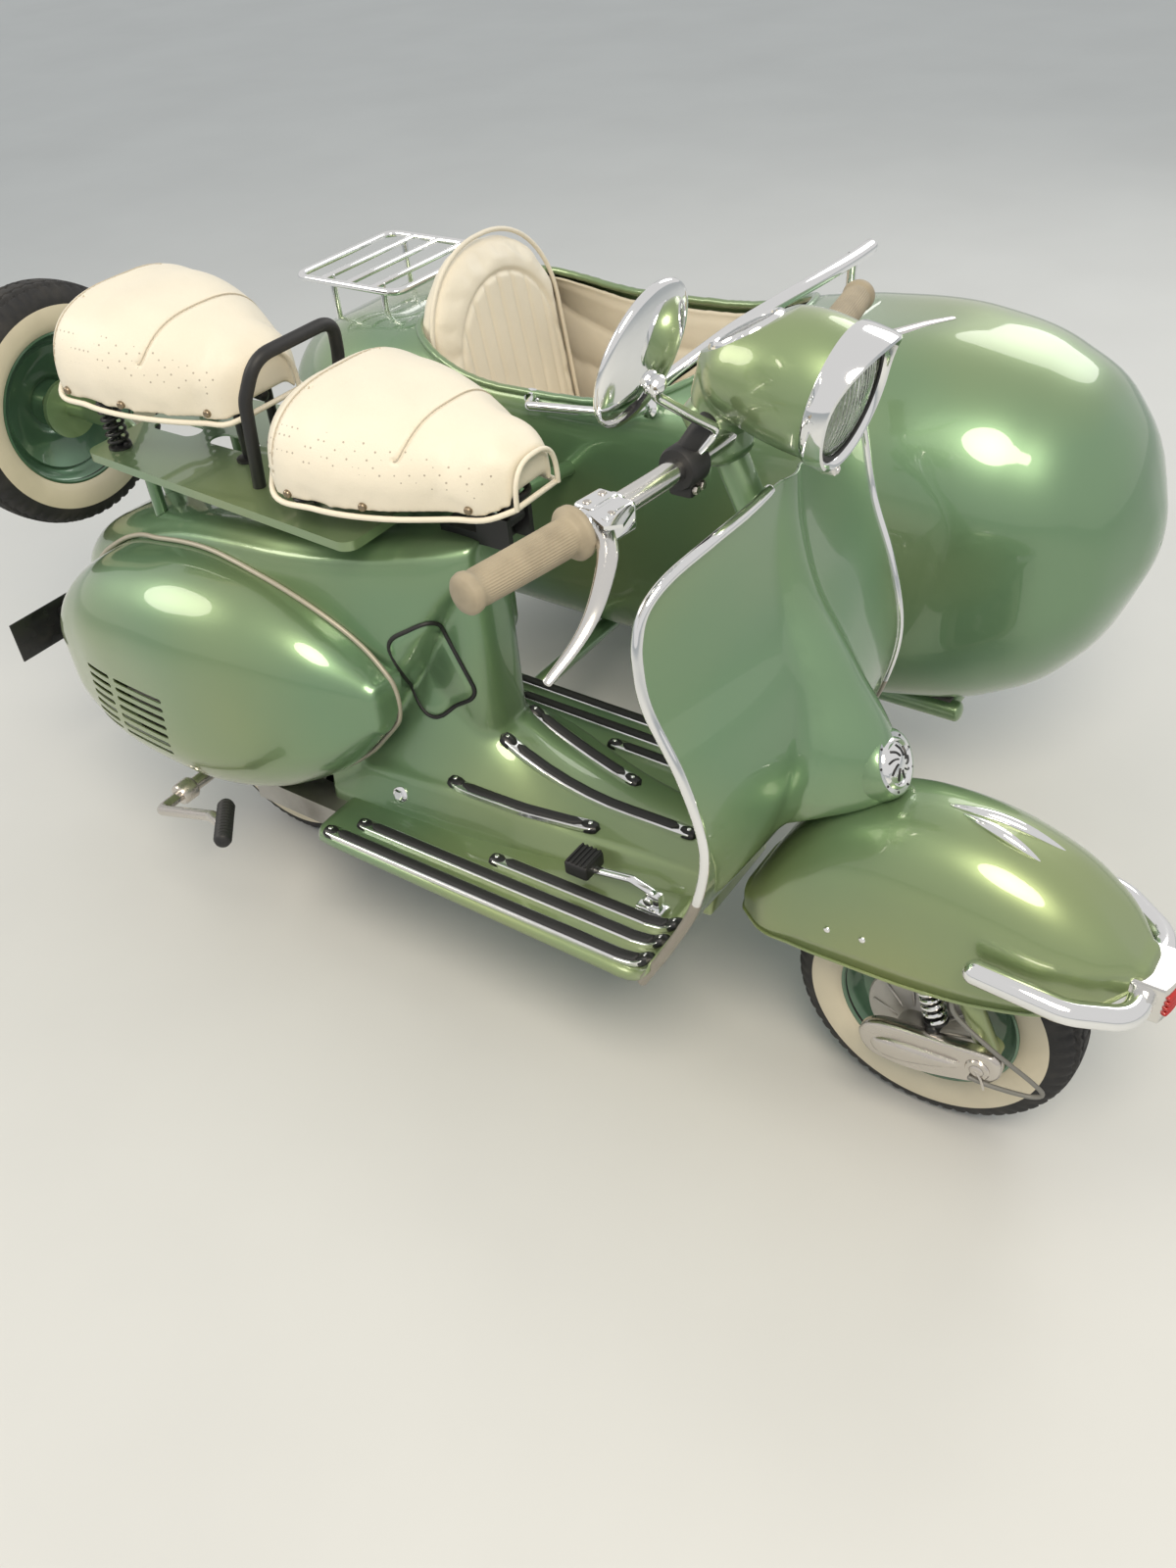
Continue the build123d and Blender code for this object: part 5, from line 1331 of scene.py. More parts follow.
class SCOOTER_OT_front_fork(Operator):
    """One-sided fork with its link, coil spring, brake plate and cable"""
    bl_idname = "scooter.front_fork"
    bl_label = "Fork and suspension"

    def execute(self, context):
        leg = bend_path([on_column(910), on_column(412), (1154, FORK_Y, 382), (1220, FORK_Y, 270),
                         (PIVOT.x, FORK_Y, PIVOT.z + 4)], [30, 34, 40])
        stem = pipe([on_column(430), on_column(908)], 18.8, 32)
        boss = spin([(0.01, -16), (12, -16), (16, -13), (16, 13), (12, 15), (0.01, 15)], PIVOT, ACROSS, 40)
        piece("fork_leg", gather(pipe(leg, 14.2, 28), stem, boss), "green_paint", "steering",
              "steering_column")
        self.link()
        self.spring()
        plate = spin([(0.01, -40), (70, -40), (74, -42), (76, -46), (74, -49), (60, -52), (40, -58),
                      (26, -64), (26, -86), (0.01, -88)], FRONT_AXLE, ACROSS, 72)
        ribs = []
        for turn in turns(10):
            arm = arm_at(Vector((1, 0, 0)), Vector(UP), turn)
            ends = [FRONT_AXLE + arm * radius + Vector((0, y, 0)) for radius, y in ((30, -60), (66, -50))]
            ribs.append(pipe(ends, 3.0, 10))
        piece("brake_drum_plate", gather(plate, *ribs), "engine_casting", "steering", "brake_plate")
        cable = smooth_path([(1200, -86, 300), (1206, -92, 268), (1258, -97, 238), (1308, -88, 200),
                             (1322, -86, 184), (1308, -90, 176), (1270, -104, 184), (1240, -112, 192)], 8)
        piece("front_brake_cable", pipe(cable, 3.0, 12), "cable_sheath", "steering", "brake_cable")
        return {"FINISHED"}

    def link(self):
        """Pressed cover of the link with its raised drop, and the bolts at its two ends."""
        outline = [(1262, 232), (1240, 230), (1190, 222), (1130, 214), (1108, 206), (1094, 190), (1093, 172),
                   (1104, 156), (1124, 149), (1160, 151), (1200, 161), (1240, 176), (1262, 186), (1271, 196),
                   (1274, 209), (1271, 223)]
        drop = [(1226, 205), (1180, 200), (1138, 194), (1118, 186), (1110, 176), (1114, 166), (1128, 161),
                (1160, 166), (1200, 182), (1226, 196)]
        cover, raised = [smooth_path([(x, 0, z) for x, z in [*line, line[0]]], 4)[:-1]
                         for line in (outline, drop)]
        cover_steps = ((0.97, -89), (1.0, -91), (1.0, -101), (0.97, -104.5), (0.92, -106))
        raised_steps = ((1.0, -105.5), (0.94, -108.5), (0.8, -111.5), (0.5, -113), (0.05, -113.4))
        shapes = [skin([drawn_in(ring, middle, scale, (0, y, 0)) for scale, y in steps])
                  for ring, middle, steps in ((cover, Vector((1185, 0, 190)), cover_steps),
                                              (raised, middle_of(raised), raised_steps))]
        piece("link_cover", gather(*shapes), "link_steel", "steering", "front_link", smooth=40.0)
        bolt = PIVOT + Vector((0, -34, 0))
        washer = spin([(8, 2), (15, 2), (15.5, -1), (14, -3), (9, -3.4)], bolt, ACROSS, 36)
        head = spin([(0.01, -5.2), (7, -5), (8.6, -3.6), (9, 0), (9, 3)], bolt, ACROSS, 28)
        bends = [bolt + Vector(spot) for spot in ((0, -4, 0), (8, -5, -12), (12, -4, -26))]
        axle = spin([(0.01, 44), (10, 44), (12, 42), (12, -60), (0.01, -60)], FRONT_AXLE, ACROSS, 28)
        piece("link_bolt", gather(washer, head, pipe(smooth_path(bends, 4), 1.8, 8), axle), "link_steel",
              "steering")

    def spring(self):
        """Coil spring round its damper."""
        along = (SPRING_TOP - SPRING_LOW).normalized()
        side, up = frame_at(along)
        length = (SPRING_TOP - SPRING_LOW).length + 16
        start = SPRING_LOW - along * 4
        count, per_turn = 9.5, 20
        coil = []
        for k in range(int(count * per_turn) + 1):
            arm = arm_at(side, up, 2 * math.pi * k / per_turn)
            coil.append(start + along * length * k / (count * per_turn) + arm * 12.6)
        piece("front_coil", pipe(coil, 3.1, 10), "trim_chrome", "steering", "front_spring")
        rod = pipe([start - along * 12, start + along * (length + 10)], 7.0, 20)
        cups = [spin([(0.01, -3), (15, -3), (16, 0), (15, 3), (0.01, 3)], start + along * run, along, 28)
                for run in (-3, length + 2)]
        lug = pipe([start - along * 10 + Vector((0, y, 0)) for y in (-16, 12)], 8.0, 18)
        piece("front_damper", gather(rod, lug, *cups), "dark_steel", "steering")


def bar_point(y):
    """Middle of the handlebar tube at a place across."""
    share = abs(y) / BAR_HALF
    return Vector((BAR_MIDDLE.x - 45 * share ** 1.6, y, BAR_MIDDLE.z + 4 * share))


class SCOOTER_OT_handlebar(Operator):
    """Handlebar with ribbed grips, levers and their perches"""
    bl_idname = "scooter.handlebar"
    bl_label = "Handlebar"

    def execute(self, context):
        sizes = context.scene.scooter_sizes
        path = [bar_point(y) for y in range(-392, 393, 14)]
        clamp = pipe([on_column(880), on_column(926)], [30, 33], 36)
        piece("bar_tube", pipe(path, 12.6, 28), "bar_aluminium", "steering", "handlebar")
        piece("bar_clamp", clamp, "green_paint", "steering")
        grips = [self.grip(side, sizes) for side in (-1, 1)]
        piece("ribbed_grips", gather(*grips), "grip_rubber", "steering", "hand_grips", smooth=50.0)
        self.levers()
        return {"FINISHED"}

    def grip(self, side, sizes):
        """Grip with fine ribs along it, a ring at its open end and a domed tip."""
        profile = [(258, 13), (258.5, 25), (260, 27), (265, 27.4), (268, 25), (270, 20), (274, 18.6),
                   (390, 17.6), (392, 19.5), (396, 20.4), (401, 19.6), (404, 17), (405.5, 10), (406, 0.5)]
        dense = []
        for (y0, r0), (y1, r1) in zip(profile, profile[1:]):
            steps = 16 if y1 - y0 > 50 else 1
            dense += [(y0 + (y1 - y0) * k / steps, r0 + (r1 - r0) * k / steps) for k in range(steps)]
        across, up = frame_at((bar_point(side * 396) - bar_point(side * 300)).normalized())
        rings = []
        for y, radius in [*dense, profile[-1]]:
            here = bar_point(side * min(y, 396.9))
            here.y = side * y
            rib = 0.7 if 274 < y < 389 else 0.0
            rings.append([here + arm_at(across, up, turn) * (radius + (rib if k % 4 < 2 else 0.0))
                          for k, turn in enumerate(turns(sizes.grip_rings * 4))])
        return skin(rings)

    def levers(self):
        """Lever blades, and the perches that carry them, with their screws."""
        paths = [[(846, -238, 914), (862, -252, 904), (878, -272, 893), (894, -318, 872), (895, -352, 852),
                  (886, -390, 829)], [(846, 238, 914), (864, 252, 910), (884, 272, 905), (908, 318, 904),
                                      (924, 352, 903), (940, 392, 898)]]
        widths = [9, 11, 10, 8, 6, 4.5]
        blades = []
        for points in paths:
            path = smooth_path(points, 6)
            radii = list(np.interp(np.linspace(0, 5, len(path)), range(6), widths))
            blades.append(pipe(path, radii, 20, flat=0.42))
        piece("lever_blades", gather(*blades), "bar_aluminium", "steering", "brake_levers")
        perches, screws = [], []
        for side in (-1, 1):
            centre = bar_point(side * 228)
            along = (bar_point(side * 300) - bar_point(side * 160)).normalized()
            across, up = frame_at(along)
            sleeve = pipe([centre - along * 26, centre + along * 24], [16.5, 17.5], 28)
            turn = Matrix((across, along, up)).transposed().to_4x4()
            turn.translation = centre
            housing = block((-2, -24, -13), (30, 20, 17), 5, 3)
            wing = [Vector(spot) for spot in ((4, -22, 15), (34, -14, 12), (42, 12, 8), (30, 26, 8),
                                              (6, 22, 14))]
            plate = skin([wing, [spot + Vector((0, 0, 3.5)) for spot in wing]])
            lid = block((-16, -22, 10), (10, 18, 20), 4, 3)
            perches += [sleeve, moved(gather(housing, plate, lid), turn)]
            for spot in ((24, 8, 15), (-4, -12, 19.5), (-4, 10, 19.5)):
                screws.append(moved(button(spot, UP, 4.6, 2.4), turn))
        piece("lever_perches", gather(*perches), "trim_chrome", "steering")
        piece("perch_screws", gather(*screws), "link_steel", "steering")


class SCOOTER_OT_headlamp(Operator):
    """Headlamp pod with its peaked chrome rim, ribbed glass and speedometer"""
    bl_idname = "scooter.headlamp"
    bl_label = "Headlamp"

    def execute(self, context):
        axis = Vector((math.cos(LAMP_DIP), 0, -math.sin(LAMP_DIP)))
        up = Vector((math.sin(LAMP_DIP), 0, math.cos(LAMP_DIP)))
        pod_rows = [(-2, 67, 0), (14, 69.5, 0), (52, 70, 0), (97, 62, 4), (137, 45, 10), (158, 22, 14)]
        rings = []
        for back in along_rows(pod_rows, 7):
            _, radius, drop = between(pod_rows, back)
            middle = LAMP - axis * back - up * drop
            rings.append([middle + arm_at(Vector(ACROSS), up, turn) * radius for turn in turns(48)])
        neck = pipe([on_column(906, 4), on_column(930, 16) + Vector((0, 0, 4)),
                     on_column(960, 50) + Vector((0, 0, 8))], [31, 34, 44], 36)
        shell = blended("lamp_shell", [skin(rings), neck], 3.2, 12, "green_paint", "steering", "lamp_pod")
        seat = Matrix(((DIAL_FACE.z, 0, DIAL_FACE.x), ACROSS, (-DIAL_FACE.x, 0, DIAL_FACE.z))).to_4x4()
        seat.translation = DIAL
        carve(shell, moved(block((-90, -90, 0), (90, 90, 90), 0), seat))
        shade(shell, 40.0)
        self.rim(axis, up)
        self.glass(axis, up)
        self.speedometer()
        return {"FINISHED"}

    def rim(self, axis, up):
        """Chrome ring, deeper at the top where its peak stands forward."""
        section = [(62, 3, 0), (63, 7, 0.1), (65.5, 11, 0.75), (69, 12.5, 1.0), (72, 11, 1.0),
                   (73.4, 6, 0.85), (74, -3, 0.2), (73.6, -10, 0), (72, -12.5, 0), (68, -12.5, 0),
                   (64, -6, 0)]
        rings = []
        for angle in [*turns(96), 2 * math.pi]:
            arm = arm_at(up, Vector(ACROSS), angle)
            peak = max(0.0, math.cos(angle)) ** 2.2 * 20
            ring = [LAMP + arm * radius + axis * (along + peak * share) for radius, along, share in section]
            rings.append([*ring, ring[0]])
        piece("lamp_peak_rim", skin(rings, closed=False), "trim_chrome", "steering", "lamp_rim", smooth=45.0)
        screw = LAMP - up * 78 + axis * 2
        clip = moved(block((-9, -7, -6), (9, 7, 6), 2), Matrix.Translation(screw))
        gasket = [(58.5, 4), (62.5, 3), (63, 6), (61, 7.5), (58.5, 6.5), (58.5, 4)]
        piece("lamp_gasket", spin(gasket, LAMP, axis, 64), "black_rubber", "steering")
        piece("rim_clip", gather(clip, button(screw + axis * 8, axis, 4.5, 3)), "bar_aluminium", "steering")

    def glass(self, axis, up):
        """Domed glass with upright ribs, a bowl and a bulb behind it."""
        rings = []
        for radius in np.linspace(0.4, 61, 26):
            ring = []
            for turn in turns(120):
                across, height = radius * math.sin(turn), radius * math.cos(turn)
                bulge = 1 + 13 * (1 - (radius / 61) ** 2)
                rib = 0.9 * abs(math.sin(across * math.pi / 7)) if radius < 60 else 0.0
                ring.append(LAMP + Vector((0, across, 0)) + up * height + axis * (bulge + rib))
            rings.append(ring)
        glass = piece("ribbed_lens", skin(rings, caps=(True, False)), "lamp_glass", "steering", "lamp_lens",
                      smooth=70.0)
        thicken(glass, 2.5)
        bowl = [(61, 0), (58, -6), (50, -18), (38, -28), (22, -35), (8, -38), (0.01, -38)]
        piece("lamp_bowl", spin(bowl, LAMP, axis, 64), "bowl_silver", "steering",
              smooth=60.0)
        bulb = [(0.01, -8), (5, -9), (8, -14), (8, -20), (5, -28), (5, -38)]
        piece("lamp_bulb", spin(bulb, LAMP, axis, 24), "lamp_glass", "steering", smooth=60.0)

    def speedometer(self):
        """Dial let into the back of the pod, facing the rider."""
        bezel = [(40, -22), (42, -4), (41.5, 2), (38.5, 5), (35, 4), (33, 0)]
        piece("dial_bezel", spin(bezel, DIAL, DIAL_FACE, 64), "trim_chrome", "steering", smooth=45.0)
        piece("dial", spin([(0.01, -1), (34, -1), (34, -6), (0.01, -6)], DIAL, DIAL_FACE, 48), "dial_face",
              "steering")
        side, high = frame_at(DIAL_FACE)
        marks = []
        for degrees in range(-210, 31, 20):
            arm = arm_at(side, high, math.radians(degrees))
            marks.append(pipe([DIAL + arm * 25, DIAL + arm * 31], 0.7, 6))
        marks.append(pipe([DIAL - high * 5, DIAL + high * 22], [1.6, 0.5], 8))
        marks.append(button(DIAL, DIAL_FACE, 3.0, 2.0))
        piece("dial_marks", gather(*marks), "black_rubber", "steering")
        cover = [(0.01, 6), (16, 5.4), (28, 3.8), (34, 2)]
        glass = piece("dial_glass", spin(cover, DIAL, DIAL_FACE, 48), "lamp_glass", "steering", smooth=60.0)
        thicken(glass, 1.0)


class SCOOTER_OT_mirror(Operator):
    """Round mirror on its bent stalk, clamped to the handlebar"""
    bl_idname = "scooter.mirror"
    bl_label = "Mirror"

    def execute(self, context):
        tilt = math.radians(18.0)
        face = Vector((math.cos(tilt), 0, -math.sin(tilt)))
        back = [(66, -3), (70, -2.5), (71.4, 0), (71, 3), (68, 5), (62, 8), (50, 12), (34, 15.5), (18, 17.4),
                (0.01, 18)]
        piece("mirror_shell", spin(back, MIRROR, face), "trim_chrome", "steering", "mirror", smooth=60.0)
        piece("mirror_glass", spin([(67, -1.5), (40, -2.2), (0.01, -2.6)], MIRROR, face, 72), "looking_glass",
              "steering", smooth=60.0)
        stalk = bend_path([(862, -92, 908), (884, -76, 940), (876, -112, 966), (866, -160, 1004),
                           (876, -170, 1024)], [14, 22, 16])
        joint = spin([(0.01, -9), (6, -8), (9, -3), (9, 3), (6, 8), (0.01, 9)], (874, -169, 1020),
                     (0, 1, 0.3), 24)
        piece("mirror_stalk", gather(pipe(stalk, 5.2, 18), joint), "trim_chrome", "steering")
        clamp_axis = (bar_point(-60) - bar_point(-120)).normalized()
        spot = bar_point(-92)
        clamp = spin([(12.6, -16), (21, -16), (23, -12), (23, 12), (21, 16), (12.6, 16)], spot, clamp_axis,
                     36)
        boss = pipe([spot + Vector(step) for step in ((0, 0, 12), (12, 8, 34), (20, 14, 46))], [12, 11, 10],
                    20)
        lugs = moved(block((-14, -12, -32), (14, 12, -12), 4), Matrix.Translation(spot))
        piece("mirror_clamp", gather(clamp, boss, lugs), "black_rubber", "steering")
        nuts = [hex_head(spot + Vector((14, side * 6, -22)), (1, 0, 0), 5, 5) for side in (-1, 1)]
        piece("clamp_nuts", gather(*nuts), "link_steel", "steering")
        return {"FINISHED"}


# Saddles
def saddle_ring(row):
    """Closed section of a saddle: a low dome over the top, and a hollow below."""
    x, half, low, high, _ = row
    half, fullness = half + 4, 0.72
    over = []
    for k in range(ARC_STEPS + 1):
        angle = math.pi * k / ARC_STEPS
        across, rise = math.cos(angle), math.sin(angle)
        over.append((half * math.copysign(abs(across) ** fullness, across),
                     low + (high - low) * rise ** fullness))
    under = [(-half + 9, low), (-half + 10, low + 14), (half - 10, low + 14), (half - 9, low)]
    return [Vector((x, across, height)) for across, height in over + under]


class SCOOTER_OT_saddles(Operator):
    """Front and pillion saddles in stitched leather, with piping and rivets"""
    bl_idname = "scooter.saddles"
    bl_label = "Saddles"

    def execute(self, context):
        depth = context.scene.scooter_sizes.seam_depth
        self.saddle("front_saddle", SADDLE_ROWS, "saddle", "saddle_cover", depth)
        self.saddle("pillion_saddle", PILLION_ROWS, "root", "pillion_cover", depth)
        return {"FINISHED"}

    def saddle(self, name, rows, body, node_name, depth):
        """Padded cover with its stitching, piping and rivets."""
        rings = [saddle_ring(between(rows, x)) for x in along_rows(rows, 8)]
        rear, front = rows[0][0], rows[-1][0]
        length = front - rear
        foot = rings[0][0].z
        crown = []
        for angle in (math.pi / 2 * k / 5 for k in range(5, 0, -1)):
            scale = max(math.cos(angle), 0.05)
            crown.append([Vector((p.x - 16 * math.sin(angle), p.y * (0.6 + 0.4 * scale),
                                  foot + (p.z - foot) * scale)) for p in rings[0]])
        cover = piece(name, skin(crown + rings), "cream_leather", body, node_name, smooth=75.0)
        plump(cover, 5.0, 5.0)
        tree = surface_tree(cover)
        seams = []
        for share, bow in ((0.16, 10.0), (0.66, 14.0)):
            half = between(rows, rear + length * share)[1] + 2
            line = [(rear + length * share - bow * (k / 24) ** 2, half * math.sin(math.pi / 2 * k / 24))
                    for k in range(-24, 25)]
            seams.append([onto(tree, (x, y * 0.99, 1200), DOWN)[0] for x, y in line])
        sewn(cover, seams, 3.0, depth)
        push(cover, [0.6 * noise.noise(Vector(spot) / 60) for spot in points_of(cover)])
        shade(cover, 75.0)
        cover.data.materials.append(FINISHES["perforated_leather"])
        for poly in cover.data.polygons:
            spot = poly.center / MM + ORIGIN
            top = between(rows, min(max(spot.x, rear), front))[3]
            if top - 62 < spot.z < top - 26 and rear + 30 < spot.x < front - 20:
                poly.material_index = 1
        stitches = [pipe(seam[::2], 0.9, 6) for seam in seams]
        piece(name + "_stitching", gather(*stitches), "seam_thread", body)
        edge = [ring[0] for ring in crown[1:] + rings] + [ring[ARC_STEPS]
                                                          for ring in reversed(crown[1:] + rings)]
        arch = [Vector((p.x + 3, p.y * 0.97, p.z)) for p in rings[-1][:ARC_STEPS + 1]]
        piece(name + "_piping", gather(pipe(edge, 3.8, 12, loop=True), pipe(arch, 3.4, 12)), "cream_leather",
              body)
        rivets = []
        for share in (0.20, 0.50, 0.86):
            x = rear + length * share
            for side in (-1, 1):
                spot, normal = onto(tree, (x, side * 400, between(rows, x)[2] + 14), (0, -side, 0), 1.0)
                rivets.append(button(spot, normal, 5.6, 4.2))
        piece(name + "_rivets", gather(*rivets), "rivet_bronze", body)


class SCOOTER_OT_saddle_frames(Operator):
    """Black frames, coil springs and hinge under the saddles, and the rubber grab loop"""
    bl_idname = "scooter.saddle_frames"
    bl_label = "Saddle frames"

    def coil(self, x, y, low, high, radius, count=5):
        """Upright coil spring between two heights."""
        path = []
        for k in range(count * 18 + 1):
            angle = 2 * math.pi * k / 18
            path.append((x + radius * math.cos(angle), y + radius * math.sin(angle),
                         low + 3 + (high - low - 6) * k / (count * 18)))
        return pipe(path, 2.6, 10)

    def execute(self, context):
        rods = [[(545, 0, 758), (262, 0, 768)], [(268, -96, 766), (268, 96, 766)],
                [(540, 0, 724), (520, 0, 762)]]
        front = [pipe(rod, 8.5, 16) for rod in rods]
        hinge = [(4.6, -16), (9, -16), (9, 16), (4.6, 16), (4.6, -16)]
        front.append(spin(hinge, (540, 0, 724), ACROSS, 24))
        for side in (-1, 1):
            front.append(self.coil(268, side * 88, DECK_TOP + 0.6, 766, 15))
            front.append(self.coil(512, side * 34, 730, 758, 11, 4))
        half = [(262, -100, 768), (340, -112, 764), (500, -52, 758), (560, -20, 758)]
        rim = bend_path([(262, 0, 768), *half, *((x, -y, z) for x, y, z in reversed(half)), (262, 1, 768)],
                        30, 5)
        front.append(pipe(rim, 5.0, 10))
        piece("saddle_springs", gather(*front), "dark_steel", "saddle", "saddle_frame")
        rods = [[(-120, 0, 834), (128, 0, 812)], [(-110, -92, 832), (-110, 92, 832)],
                [(100, -40, 814), (100, 40, 814)]]
        rear = [pipe(rod, 8.5, 16) for rod in rods]
        foot = DECK_TOP + 0.4
        for y in (-84, 84):
            rear.append(self.coil(-110, y, foot, 832, 14, 9))
            rear.append(pipe([(-110, y, foot), (-110, y, 832)], 5.5, 14))
        for y in (-30, 30):
            rear.append(pipe([(100, y, foot), (100, y, 814)], 7.0, 14))
        pad = [(0.01, 0), (17, 0), (17, 3), (15, 4), (0.01, 4)]
        for x, y in ((-110, -84), (-110, 84), (100, -30), (100, 30)):
            rear.append(spin(pad, (x, y, DECK_TOP + 0.3), UP, 28))
        piece("pillion_springs", gather(*rear), "dark_steel", "root", "pillion_frame")
        loop = bend_path([(176, -84, foot), (194, -88, 850), (212, -72, 903), (212, 72, 903), (194, 88, 850),
                          (176, 84, foot)], [60, 40, 40, 60], 10)
        piece("grab_loop_rubber", pipe(loop, 9.0, 20), "black_rubber", "root", "grab_loop")
        cap = spin([(0.01, 712), (20, 712), (28, 709), (31, 704), (31, 690), (27, 684), (27, 676)],
                   (FUEL_CAP_X, 0, 0), UP, 48)
        wing = moved(block((-24, -4, 708), (24, 4, 722), 3), Matrix.Translation((FUEL_CAP_X, 0, 0)))
        piece("fuel_cap_cover", gather(cap, wing), "trim_chrome", "root", "fuel_cap")
        return {"FINISHED"}


# Tail and lower parts
class SCOOTER_OT_tail(Operator):
    """Number plate left blank, tail lamp, kick lever and brake pedal"""
    bl_idname = "scooter.tail"
    bl_label = "Tail and pedals"

    def execute(self, context):
        x = PLATE_X
        board = block((x, -206, 330), (x + 3, -3, 402), 1.2)
        border_path = bend_path([(x - 0.6, -105, 333), (x - 0.6, -203, 333), (x - 0.6, -203, 399),
                                 (x - 0.6, -6, 399), (x - 0.6, -6, 333), (x - 0.6, -104, 333)], 8, 5)
        holder = gather(block((x + 3, -118, 356), (-350, -62, 388), 4),
                        block((-360, -66, 356), (-346, 26, 388), 4))
        piece("plate_board", board, "plate_black", "root", "number_plate")
        piece("plate_holder", holder, "dark_steel", "root")
        piece("plate_border", pipe(border_path, 1.8, 8), "runner_aluminium", "root")
        screws = [button((x - 0.4, y, z), (-1, 0, 0), 4.0, 2.4) for y in (-196, -14) for z in (341, 391)]
        strap = block((x - 2.2, -62, 330), (x - 0.4, -54, 402), 0.6)
        piece("plate_screws", gather(*screws, strap), "trim_chrome", "root")
        piece("tail_lamp_hood", lamp_hood(), "green_paint", "root", "tail_lamp")
        lens = spin([(0.01, 10), (10, 9), (18, 6), (22, 0), (22, -8)], (-376, 0, 428), (-1, 0, 0), 40)
        piece("tail_lens", lens, "red_plastic", "root")
        self.kick()
        self.pedal()
        return {"FINISHED"}

    def kick(self):
        """Kick lever with its ribbed pad."""
        arm = bend_path([KICK_PIVOT, (6, -292, 234), (150, -300, 290), (196, -318, 310)], [16, 18], 8)
        shaft = pipe([(2, -139, 232), (2, -244, 232)], 11.5, 24)
        boss = spin([(0.01, -16), (16, -16), (18, -12), (18, 10), (15, 14), (0.01, 14)], KICK_PIVOT, ACROSS,
                    28)
        piece("kick_arm", gather(pipe(arm, 10, 18, flat=0.8), shaft, boss), "link_steel", "root",
              "kick_lever")
        start, end = Vector((176, -288, 312)), Vector((236, -350, 318))
        path = [start + (end - start) * k / 24 for k in range(25)]
        radii = [13.0 if k % 2 else 11.4 for k in range(25)]
        piece("kick_pad", pipe(path, radii, 18), "black_rubber", "root")

    def pedal(self):
        """Brake pedal with its ribbed pad."""
        arm = bend_path([(812, -122, 272), (806, -122, 298), (770, -122, 308), (716, -124, 300),
                         (700, -124, 303)], [10, 14, 20], 6)
        base = gather(block((780, -134, 268.3), (822, -110, 276), 3),
                      block((794, -130, 274), (816, -114, 300), 4))
        bolt = button((800, -131, 288), (0, -1, 0), 7.5, 4)
        piece("pedal_arm", gather(pipe(arm, 7.0, 16, flat=0.7), base, bolt), "trim_chrome", "root",
              "brake_pedal")
        pad = block((676, -146, 293), (714, -102, 317), 5, 3)
        ribs = [block((680 + 7 * k, -144, 316), (683 + 7 * k, -104, 319), 0.8) for k in range(5)]
        piece("pedal_pad", gather(pad, *ribs), "black_rubber", "root")


def lamp_hood():
    """Rounded hood of the tail lamp."""
    rows = [(-380, 22, 404, 452), (-374, 27, 399, 457), (-362, 31, 396, 462), (-340, 34, 392, 470),
            (-318, 34, 392, 476)]
    return skin([upright(x, full_outline(half, low, high, 20, 18)) for x, half, low, high in rows])


# Sidecar
def cockpit_half(x):
    """Half width of the opening at a station, none past its ends."""
    share = abs(x - COCKPIT_MIDDLE) / COCKPIT_REACH
    if share >= 1:
        return 0.0
    return COCKPIT_HALF * (1 - share ** 3.2) ** (1 / 3.2)


def hull_outline(x, inset=0.0):
    """Section from the opening's rim, down one side of the hull to its keel, evenly divided."""
    _, half, low, high, shoulder, foot = between(HULL_ROWS, x)
    low, high = low + inset, high - inset
    right = half_outline(half - inset, low, high, shoulder - inset, foot - inset, 24, 12)
    gap = cockpit_half(x)
    kept = []
    for (a0, h0), (a1, h1) in zip(right, right[1:]):
        for share in (k / 4 for k in range(4)):
            across, height = a0 + (a1 - a0) * share, h0 + (h1 - h0) * share
            if height < (low + high) / 2 or across >= gap:
                kept.append(Vector((x, across, height)))
    rim = Vector((x, gap, kept[0].z if gap > 0 else high))
    return even([rim, *kept, Vector((x, 0, low))], 46)


def even(points, count):
    """Points spaced evenly along a line."""
    lengths = [0.0]
    for a, b in zip(points, points[1:]):
        lengths.append(lengths[-1] + (b - a).length)
    table = np.array([[p.x, p.y, p.z] for p in points])
    wanted = np.linspace(0, lengths[-1], count)
    columns = [np.interp(wanted, lengths, table[:, axis]) for axis in range(3)]
    return [Vector(values) for values in zip(*columns)]


def shut(ring, reach):
    """Rings that close an end with a shallow crown."""
    scales = [max(1 - k / 8, 0.01) for k in range(1, 9)]
    return [drawn_in(ring, middle_of(ring), scale, (reach * (1 - scale ** 2), 0, 0)) for scale in scales]


def hull_ring(x):
    """Whole section of the hull, open at its top where the cockpit is."""
    right = hull_outline(x)
    left = [Vector((p.x, -p.y, p.z)) for p in reversed(right[:-1])]
    return [p + Vector((0, CAR_Y, 0)) for p in right + left]


